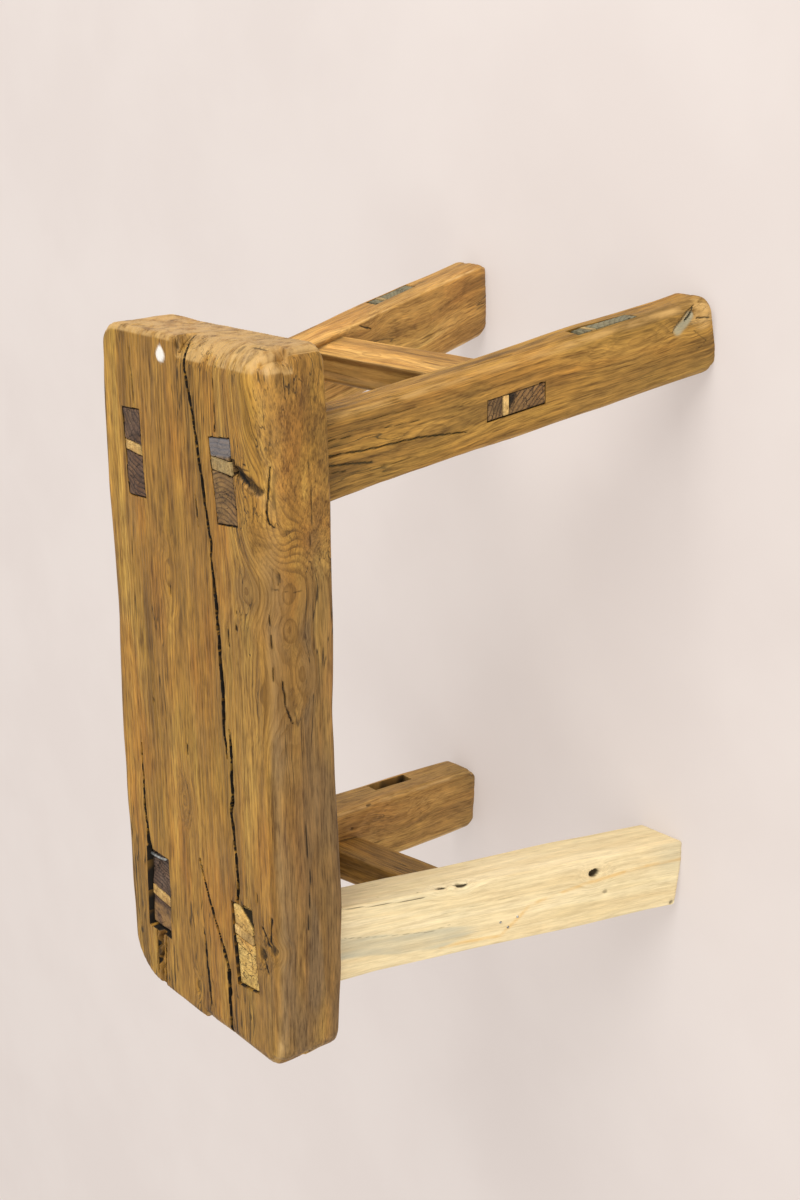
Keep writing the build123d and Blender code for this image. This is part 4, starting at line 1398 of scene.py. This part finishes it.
# %% Draw a block
def block(half_x, half_y, low, high, step, radius, rough, seed):
    """A block with its seen end upwards."""
    xs, ys = spread(-half_x, half_x, step), spread(-half_y, half_y, step)
    zs = spread(low, high, max(step, 2.0), [(high - 3, high, step)])
    points, faces = box_of_quads(xs, ys, zs)
    middle = np.array([0, 0, (low + high) / 2])
    half = np.array([half_x, half_y, (high - low) / 2])
    shape, out = roll_round(points - middle, half, radius)
    shape = shape + middle
    shape[:, 2] += rough * lumps(points, (4, 4, 50), seed) * (out[:, 2] > 0.2)
    return shape, out, faces


def block_numbers(shape, out, pith, spacing, seed, dirty=0.0, grey=0.0, worn=0.0):
    """What the wood finish reads, for a block whose grain runs towards the seen end."""
    log = shape[:, [2, 0, 1]]
    rings, _ = count_rings(log, pith, spacing, [], seed)
    low_edge = ease(1 - np.abs(out).max(axis=1), 0.05, 0.2)
    dirt = np.maximum(dirty + 0.25 * lumps(shape, (5, 5, 9), seed + 3), low_edge * 0.45)
    wear = np.full(len(shape), worn)
    dull = grey + 0.35 * lumps(shape, (7, 7, 20), seed + 4)
    return log + 60.0 * (seed % 17), rings, np.column_stack([dirt, wear, dull])


def seat_carry(shape, name):
    """Carry a block to the place of a seat tenon, with its end at the top of the plank."""
    middle_x, middle_y, _, _, degrees = mortises[name]
    angle = math.radians(degrees)
    x = middle_x + shape[:, 0] * math.cos(angle) - shape[:, 1] * math.sin(angle)
    y = middle_y + shape[:, 0] * math.sin(angle) + shape[:, 1] * math.cos(angle)
    return np.column_stack([x, y, shape[:, 2] + seat_top])


print("a block of", len(box_of_quads(spread(-3, 3, 1), spread(-2, 2, 1), spread(0, 5, 1))[0]), "points")

# %% [markdown]
# ## Tenon heads in the seat
#
# Each head is split by its wedge. The old ones are dark, with curved rings. The head of the worn
# leg sits 3 mm low, and the pale head of the new leg has a chipped corner. Where the wedge goes,
# the head is pressed down, so that the wedge is a block of its own and its seam is a real one.
# The wedge stands a little aslant, so its places are slid along with Y.

# %% Sizes of the heads and their wedges
tenon_heads = {  # half length, half thickness, end level, wedge place, half wedge, pith, rings
    "front_right": (23.9, 9.7, -0.2, 8.6, 3.9, (-34, 6), 2.6),
    "back_right": (25.5, 8.6, -0.3, 3.0, 3.3, (46, -30), 3.0),
    "front_left": (25.6, 9.2, -0.2, 8.0, 3.4, (60, 40), 2.8),
    "back_left": (25.0, 11.0, -2.8, -3.6, 3.6, (-50, 20), 2.8),
}
head_shifts = {"front_left": 0.8, "back_left": 0.5}
head_dirt = {"front_right": 0.08, "back_right": 0.2, "front_left": 0.0, "back_left": 0.12}
wedge_slant = 0.16
wedge_room = 3.0


def damage_head(name, shape, up):
    """Chips, steps, a groove and nail holes, each on the head of its own leg."""
    x, y = shape[:, 0], shape[:, 1]
    if name == "front_left":
        shape[up & (x > 14) & (y < 1) & (x - y * 0.9 > 23), 2] -= 2.5
        shape[up & (x < -2 + 0.3 * y), 2] -= 0.7
        shape[up & (np.abs(x + 2 - 0.3 * y) < 0.6), 2] -= 0.8
    if name == "back_left":
        shape[:, 2] -= up * 3.5 * ease(x, 4, 20) * (0.6 + 0.5 * lumps(shape, (6, 6, 40), 77))
    if name == "front_right":
        for hole_x, hole_y in ((12.3, -8.6), (6.5, -9.0), (4.4, -5.6)):
            shape[up & (np.hypot(x - hole_x, y - hole_y) < 1.7), 2] -= 3.5


print("heads:", len(tenon_heads))

# %% [markdown]
# The head of the front right leg is a little grey, with a blue grey stain at one end. The sunken
# part of the worn head is grey too, and its other end is rubbed. Chips and holes hold dirt.


# %% Make the heads and their wedges
def make_head(name, order, long, thick, level, wedge_at, half_wedge, pith, spacing):
    """One tenon head, carried to its mortise."""
    surface = {"step": 0.7, "radius": 0.6, "rough": 0.35, "seed": 400 + order}
    shape, out, faces = block(long, thick, -26, level, **surface)
    shape[:, 1] -= head_shifts.get(name, 0.0)
    up = out[:, 2] > 0.3
    under_wedge = up & (np.abs(shape[:, 0] - wedge_at - wedge_slant * shape[:, 1]) < half_wedge)
    shape[under_wedge, 2] -= wedge_room
    damage_head(name, shape, up)
    grey = {"front_right": 0.3, "back_left": ease(shape[:, 0], 0, 8) * 0.6}.get(name, 0.0)
    grain, rings, marks = block_numbers(
        shape, out, pith, spacing, 410 + order, head_dirt[name], grey
    )
    marks[under_wedge, 0] = 1.0
    if name == "back_left":
        marks[:, 1] = ease(-shape[:, 0], 9, 13) * 0.6
    else:
        marks[up & (shape[:, 2] < level - 1.4), 0] = 1.0
    near_knot = np.full(len(shape), 0.06 if name == "front_left" else 0.35)
    checks = 0.9 + 0.3 * lumps(shape, (9, 9, 9), 425 + order)
    stain = ease(shape[:, 0], 12, 15) * 0.7 * (name == "front_right")
    signs = np.column_stack([near_knot, checks, stain])
    finish = {"front_left": pale_head_wood, "front_right": brown_head_wood}.get(name, head_wood)
    slot = "new_leg_wood" if name == "front_left" else "old_leg_wood"
    placed = seat_carry(shape, name)
    hand_over("tenon_head_" + name, placed, faces, finish, slot, [], grain, rings, marks, signs)


def make_wedge(name, order, thick, level, wedge_at, half_wedge):
    """The end of one wedge, in the place kept for it in the head."""
    low = -22 if name != "back_left" else -24
    half_x, half_y = half_wedge - 0.25, thick - 0.2
    surface = {"step": 0.8, "radius": 0.7, "rough": 0.25, "seed": 430 + order}
    shape, out, faces = block(half_x, half_y, low, level + 0.25, **surface)
    shape[:, 0] += wedge_at + wedge_slant * shape[:, 1]
    grey = 0.7 if name == "front_right" else 0.1
    numbers = block_numbers(shape, out, (20, 60), 2.4, 440 + order, 0.05, grey)
    node = "seat_wedge_" + name
    placed = seat_carry(shape, name)
    hand_over(node + "_end", placed, faces, wedge_wood, "wedge_wood", [node], *numbers)


for order, (name, head) in enumerate(tenon_heads.items()):
    make_head(name, order, *head)
    make_wedge(name, order, *head[1:5])

# %% [markdown]
# ## Side stretchers
#
# A stretcher is a bar between two legs. It leans with them, so its own up direction is between
# theirs. The right one is a broad old board with a hollow worn along its upper edge. From front
# to back it rises by 30 mm, moves out by 10 mm and gets narrower. The left one is slimmer and
# plain. Both run a little way into the legs, so no gap shows.


# %% Directions of a bar
def leg_middle(name, height):
    """The middle of a leg at a height."""
    return np.array([*between(feet[name], heads[name], height, seat_top), height])


def bar_directions(front, back, levels, outsets):
    """Start, length and the three directions of a bar: up, out and along."""
    start = leg_middle(front, levels[0]) + (outsets[0], 0, 0)
    end = leg_middle(back, levels[1]) + (outsets[1], 0, 0)
    length = np.linalg.norm(end - start)
    along = (end - start) / length
    up = sum(leg_middle(name, seat_top) - leg_middle(name, 0) for name in (front, back)) * (1, 0, 1)
    up = up - along * up.dot(along)
    up = up / np.linalg.norm(up)
    return start, length, up, np.cross(along, up), along


right_bar = bar_directions("front_right", "back_right", (134, 164), (-0.6, 10))
left_bar = bar_directions("front_left", "back_left", (145.5, 157.5), (-8, -8))
print("bar lengths:", right_bar[1].round(1), left_bar[1].round(1))

# %% [markdown]
# A bar is drawn upright too, with its upper edge towards +X, and its height is given at both
# ends. A profile says how much of the height is kept, from its left to its right side.


# %% Shape a bar
bar_half_thick = 10.0
hidden_end = 13.0


def bar_skin(length, heights, profile, radius, seed):
    """Points of the box, the bar's shape, faces, outward directions and how worn the top is."""
    half_height = heights[0] / 2
    xs = spread(-half_height, half_height, 1.1)
    ys = spread(-bar_half_thick, bar_half_thick, 1.1)
    zs = spread(hidden_end, length - hidden_end, 1.4)
    points, faces = box_of_quads(xs, ys, zs)
    edge = radius + 0.8 * lumps(points, (12, 12, 30), seed)
    shape, out = roll_round(points, np.array([half_height, bar_half_thick, 0.0]), edge, (0, 1))
    kept = np.interp(shape[:, 1] / bar_half_thick, *zip(*profile))
    shape[:, 0] *= 1 - ease(shape[:, 0], 0, half_height) * (1 - kept)
    shape[:, 0] *= np.interp(shape[:, 2], [0, length], [1, heights[1] / heights[0]])
    return points, shape, faces, out, 1 - kept


def bar_marks(points, out, length, near_knot, hollow, grey, shade, seed):
    """What the wood finish reads for a bar. Shade is painted shadow along the upper edge."""
    # The underside gets painted shade: it is made darker through dirt and dullness.
    underside_shade, on_upper = ease(-out[:, 0], 0.3, 0.8), ease(out[:, 0], 0.3, 0.7)
    # The hollow holds real dirt, and the shade number adds painted shadow along the upper edge.
    hollow_dirt_and_shade = np.maximum(ease(hollow, 0.1, 0.26) * 0.3, shade) * on_upper
    from_end = np.minimum(points[:, 2] - hidden_end, length - hidden_end - points[:, 2])
    uneven = 9 + 6 * lumps(points, (6, 6, 6), seed + 5)
    # Darker towards the legs, at both ends of the bar.
    darker_by_legs = 0.55 * (1 - ease(from_end, 3, uneven))
    dirt = np.maximum(np.maximum(hollow_dirt_and_shade, darker_by_legs), 0.2 * near_knot) + 0.2 * underside_shade
    edge = 1 - np.abs(out).max(axis=1)
    wear = ease(edge, 0.05, 0.25) * (0.6 + 0.5 * lumps(points, (15, 15, 30), seed + 4))
    # Dullness also holds the painted shade on the underside.
    dull = grey + 0.3 * lumps(points, (20, 20, 60), seed + 6) + 0.7 * underside_shade
    checks = 0.35 + 0.5 * lumps(points, (20, 20, 60), seed + 7)
    signs = np.column_stack([0.3 * near_knot, checks, np.zeros(len(points))])
    return np.column_stack([dirt, wear, dull]), signs


print("a bar is", 2 * bar_half_thick, "mm thick")


# %% [markdown]
# The right bar gets painted shadow along its upper edge, as if from the seat above, and the left
# one a little, and the left one is greyer. Both get painted shade on their undersides. Each has one
# knot and comes from a place of its own in the log.

# %% Make the two bars
def make_bar(name, directions, heights, profile, radius, seed, pith, knots, grey, shade, finish):
    """Shape one bar, mark it, turn it into its place and hand it over."""
    start, length, up, side, along = directions
    points, shape, faces, out, hollow = bar_skin(length, heights, profile, radius, seed)
    log = points[:, [2, 0, 1]]
    rings, near_knot = count_rings(log, pith, 2.8, knots, seed + 1)
    bulge = 0.6 * lumps(points, (18, 18, 45), seed + 2)
    bulge = bulge + 0.25 * lumps(points, (7, 7, 18), seed + 3)
    shape = shape + out * (bulge + 0.1 * np.cos(2 * math.pi * rings) - 0.2)[:, None]
    marks, signs = bar_marks(points, out, length, near_knot, hollow, grey, shade, seed)
    placed = start + shape[:, :1] * up + shape[:, 1:2] * side + shape[:, 2:] * along
    grain = log + np.array([2000.0 + 10 * seed, 30.0 + seed, 80.0 + seed])
    slot = "old_leg_wood"
    hand_over(name + "_bar", placed, faces, finish, slot, [name], grain, rings, marks, signs)


# The shade numbers are painted shadow along each bar's upper edge.
make_bar(
    "stretcher_right", right_bar, (37.5, 32),
    [(-1, 0.93), (-0.6, 1.0), (-0.3, 0.82), (0.4, 0.73), (0.95, 0.94), (1, 0.94)],
    radius=3.2, seed=500, pith=(-60, -26), knots=[(96, 6, 10, 12, 3, 2.2)],
    grey=0.0, shade=0.38, finish=pale_leg_wood,
)
make_bar(
    "stretcher_left", left_bar, (35, 35), [(-1, 0.96), (-0.5, 1.0), (1, 0.9)],
    radius=2.6, seed=530, pith=(50, 34), knots=[(60, 4, -10, 10, 3, 2)],
    grey=0.25, shade=0.1, finish=leg_wood,
)

# %% [markdown]
# ## Ends that come through the legs
#
# The tenon of a stretcher and the stub of a rail stand in the pockets of a leg. The block is
# turned so that its end looks out of the pocket, in the leg's own upright post, and then leans
# with it. Each is split by a wedge driven in from outside.


# %% Carry a block into a pocket
def pocket_carry(shape, name, axis, side, middle, height):
    """Block X goes up the leg, block Y across the face, and its end looks out."""
    outward = side * (post_half["xy".index(axis)] + shape[:, 2])
    across = middle + shape[:, 1]
    columns = [outward, across] if axis == "x" else [across, outward]
    return lean(np.column_stack([*columns, height + shape[:, 0]]), name)


def turned(faces, axis, side):
    """The faces of a carried block, put the right way out."""
    return faces[:, ::-1] if (side > 0) == (axis == "y") else faces


mouth = pocket_carry(np.zeros((1, 3)), "back_right", "y", 1, 9.0, 165.0)[0]
print("the back right stretcher comes out at", mouth.round(1))

# %% [markdown]
# There are six of them: three ends of the stretchers, each with a dark triangle below its wedge,
# and three stubs, whose rails broke off long ago and left them rough and grey.

# %% The six ends
through_ends = [  # name, leg, axis, side, middle, low, high, half thick, level, wedge, half wedge
    ("stretcher_end_front_right", "front_right", "y", -1, -2.6, 122.1, 160.3, 6.0, -0.25, 148.4, 2.15),
    ("stretcher_end_back_right", "back_right", "y", 1, 9.0, 151.1, 179.3, 5.9, -0.25, 171.0, 2.1),
    ("stretcher_end_back_left", "back_left", "y", 1, -8.7, 144.2, 173.4, 5.9, -0.25, 165.0, 2.1),
    ("rail_end_front_right", "front_right", "x", 1, -5.3, 54.1, 91.6, 5.3, -0.2, 84.2, 1.9),
    ("rail_end_back_right", "back_right", "x", 1, 3.9, 62.3, 99.7, 5.4, -0.4, 91.6, 1.9),
    ("rail_end_back_left", "back_left", "x", -1, 5.8, 61.6, 98.7, 5.0, -3.6, 90.4, 1.8),
]


def make_end(order, name, pocket, half, thick, level, wedge_at, half_wedge):
    """The end itself. Wedge_at is the wedge's place along the end's own X."""
    rail = name.startswith("rail")
    surface = {"step": 0.7, "radius": 0.6, "rough": 0.3, "seed": 600 + order}
    shape, out, faces = block(half, thick, -12, level, **surface)
    at_wedge = (np.abs(shape[:, 0] - wedge_at) < half_wedge) & (out[:, 2] > 0.3)
    shape[at_wedge, 2] -= 2.5
    upper = ease(shape[:, 0], wedge_at, wedge_at + 2)
    triangle = ease(3.0 + 0.7 * shape[:, 1] - (wedge_at - half_wedge - shape[:, 0]), 0, 2)
    triangle = triangle * (upper < 0.5)
    dirty = upper * 0.1 if rail else np.maximum(upper * 0.25, triangle * 0.75)
    grey = 0.5 if rail else 0.0
    grain, rings, marks = block_numbers(shape, out, (-26, -22), 2.8, 610 + order, dirty, grey)
    marks[at_wedge, 0] = 1.0
    near_knot, stain = np.full(len(shape), 0.4), np.zeros(len(shape))
    checks = 0.8 + 0.3 * lumps(shape, (8, 8, 8), 620 + order)
    signs = np.column_stack([near_knot, checks, stain])
    finish, slot = (stub_wood, "stub_wood") if rail else (brown_head_wood, "old_leg_wood")
    nodes = [name.replace("rail_end", "rail_stub")] if rail else []
    faces = turned(faces, *pocket[1:3])
    placed = pocket_carry(shape, *pocket)
    hand_over(name, placed, faces, finish, slot, nodes, grain, rings, marks, signs)


def make_end_wedge(order, name, pocket, thick, level, wedge_at, half_wedge):
    """The wedge in an end. A stub's wedge is as grey as the stub, the others are pale."""
    grey, worn = (0.9, 0.1) if name.startswith("rail") else (-0.2, 0.5)
    half_x, half_y = half_wedge - 0.2, thick - 0.2
    surface = {"step": 0.7, "radius": 0.5, "rough": 0.2, "seed": 630 + order}
    shape, out, faces = block(half_x, half_y, -10, level + 0.2, **surface)
    shape[:, 0] += wedge_at
    numbers = block_numbers(shape, out, (30, 40), 2.0, 640 + order, 0.0, grey, worn)
    node = name.replace("stretcher_end", "stretcher_wedge").replace("rail_end", "stub_wedge")
    faces = turned(faces, *pocket[1:3])
    placed = pocket_carry(shape, *pocket)
    hand_over(node + "_end", placed, faces, wedge_wood, "wedge_wood", [node], *numbers)


for order, (name, leg, axis, side, middle, low, high, *sizes) in enumerate(through_ends):
    thick, level, wedge_height, half_wedge = sizes
    pocket = (leg, axis, side, middle, (low + high) / 2)
    wedge_at = wedge_height - (low + high) / 2
    make_end(order, name, pocket, (high - low) / 2, thick, level, wedge_at, half_wedge)
    make_end_wedge(order, name, pocket, thick, level, wedge_at, half_wedge)

# %% [markdown]
# ## Steel fixings
#
# A staple of heavy wire holds the shrunken tenon, and three brads pin the new leg to the left
# stretcher. Wire is drawn as a tube along a few places, with a round end. Old zinc on steel is
# dull, with grey patches and fine scratches, so its roughness varies more than its colour.

# %% The steel finish
steel_finish = Finish("dull_zinc_wire")
steel_place = steel_finish.node("ShaderNodeTexCoord", {}, {}, 3)
patches = pulled_noise(steel_finish, steel_place, (420.0, 420.0, 420.0), 4)
scratches = pulled_noise(steel_finish, steel_place, (300.0, 2600.0, 2600.0), 2)
greyed = soft_step(steel_finish, patches, 0.4, 0.65)
steel_colour = mix(steel_finish, greyed, paint(196, 198, 196), paint(120, 118, 110))
bump_sockets = {"Strength": 0.3, "Distance": 0.0002, "Height": scratches}
steel_bump = steel_finish.node("ShaderNodeBump", {}, bump_sockets)
steel_finish.set(Base_Color=steel_colour, Roughness=patches * 0.5 + 0.15, Normal=steel_bump)
steel_finish.shader.inputs["Metallic"].default_value = 0.9
print("steel finish with", len(steel_finish.tree.nodes), "nodes")


# %% [markdown]
# A tube needs a ring of points round each place of its path. Two directions square to the path
# span the ring, and the first and last rings are smaller, which gives a domed end.


# %% Draw wire
def wire(places, radius, sides=14):
    """A closed tube along places, with domed ends."""
    places = np.array(places, float)
    runs = np.gradient(places, axis=0)
    runs /= np.linalg.norm(runs, axis=1, keepdims=True)
    steady = np.array([0.9, 0.1, 0.3])
    first = np.cross(runs, steady)
    first /= np.linalg.norm(first, axis=1, keepdims=True)
    second = np.cross(runs, first)
    swing = np.linspace(0, 2 * math.pi, sides, endpoint=False)
    grow = np.array([0.35, 0.8] + [1.0] * (len(places) - 4) + [0.8, 0.35]) * radius
    ring = first[:, None] * np.cos(swing)[None, :, None]
    ring = ring + second[:, None] * np.sin(swing)[None, :, None]
    points = (places[:, None] + ring * grow[:, None, None]).reshape(-1, 3)
    faces = []
    for row in range(len(places) - 1):
        for k in range(sides):
            a, b = row * sides + k, row * sides + (k + 1) % sides
            faces.append([a, b, b + sides, a + sides])
    tip = len(points)
    points = np.vstack([points, places[0], places[-1]])
    last = (len(places) - 1) * sides
    caps = [[(k + 1) % sides, k, tip] for k in range(sides)]
    caps += [[last + k, last + (k + 1) % sides, tip + 1] for k in range(sides)]
    return points, faces + caps


wire_radius = 0.95


def hand_over_wire(name, paths, node):
    """Make one steel piece from its paths."""
    points, faces = np.zeros((0, 3)), []
    for places in paths:
        more_points, more_faces = wire(places, wire_radius)
        faces += [[corner + len(points) for corner in face] for face in more_faces]
        points = np.vstack([points, more_points])
    mesh = bpy.data.meshes.new(name)
    mesh.from_pydata((points / 1000).tolist(), [], faces)
    mesh.shade_smooth()
    mesh.materials.append(steel_finish.material)
    piece = bpy.data.objects.new(name, mesh)
    scene.collection.objects.link(piece)
    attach(piece, "root")
    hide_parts(node)
    print("made", name, "with", len(faces), "faces")


staple_places = [
    (-124, 61.2, 300), (-124, 61.3, 301), (-124, 61.3, 304.5), (-124, 61.2, 307.1),
    (-124, 60.5, 308.5), (-123.8, 59, 309), (-123.6, 55, 309.2), (-123.4, 50, 309.2),
    (-123.2, 46, 309), (-123.1, 44.4, 308.5), (-123, 43.7, 307.1), (-123, 43.6, 304.5),
    (-123, 43.6, 301), (-123, 43.6, 300),
]
hand_over_wire("wire_staple", [staple_places], "tenon_staple")

# %% [markdown]
# A brad is set straight into the front face of the new leg, so it is drawn in the upright post and
# leaned with it. Its head stands out by half a millimetre.

# %% Make the brads
brad_places = [(-8.1, 144.6), (-6.7, 131.8), (-12.6, 139.0)]
brad_depths = (-17.6, -17.4, -17.0, -15.0, -12.0, -9.0, -8.0)
brad_paths = [
    lean(np.array([(across, depth, height) for depth in brad_depths]), "front_left")
    for across, height in brad_places
]
hand_over_wire("wire_brads", brad_paths, "stretcher_brads")

# %% [markdown]
# ## Check the size
#
# The dressed stool has to stay as large as the plain one. The two boxes are compared at the end,
# in millimetres.

# %% Write both boxes and finish
new_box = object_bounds()
print("faces in all:", sum(made_faces))
for low_high, before, after in zip(("low", "high"), cad_box, new_box):
    print(low_high, [round(1000 * (b - a), 1) for a, b in zip(before, after)], "mm from the plain model")
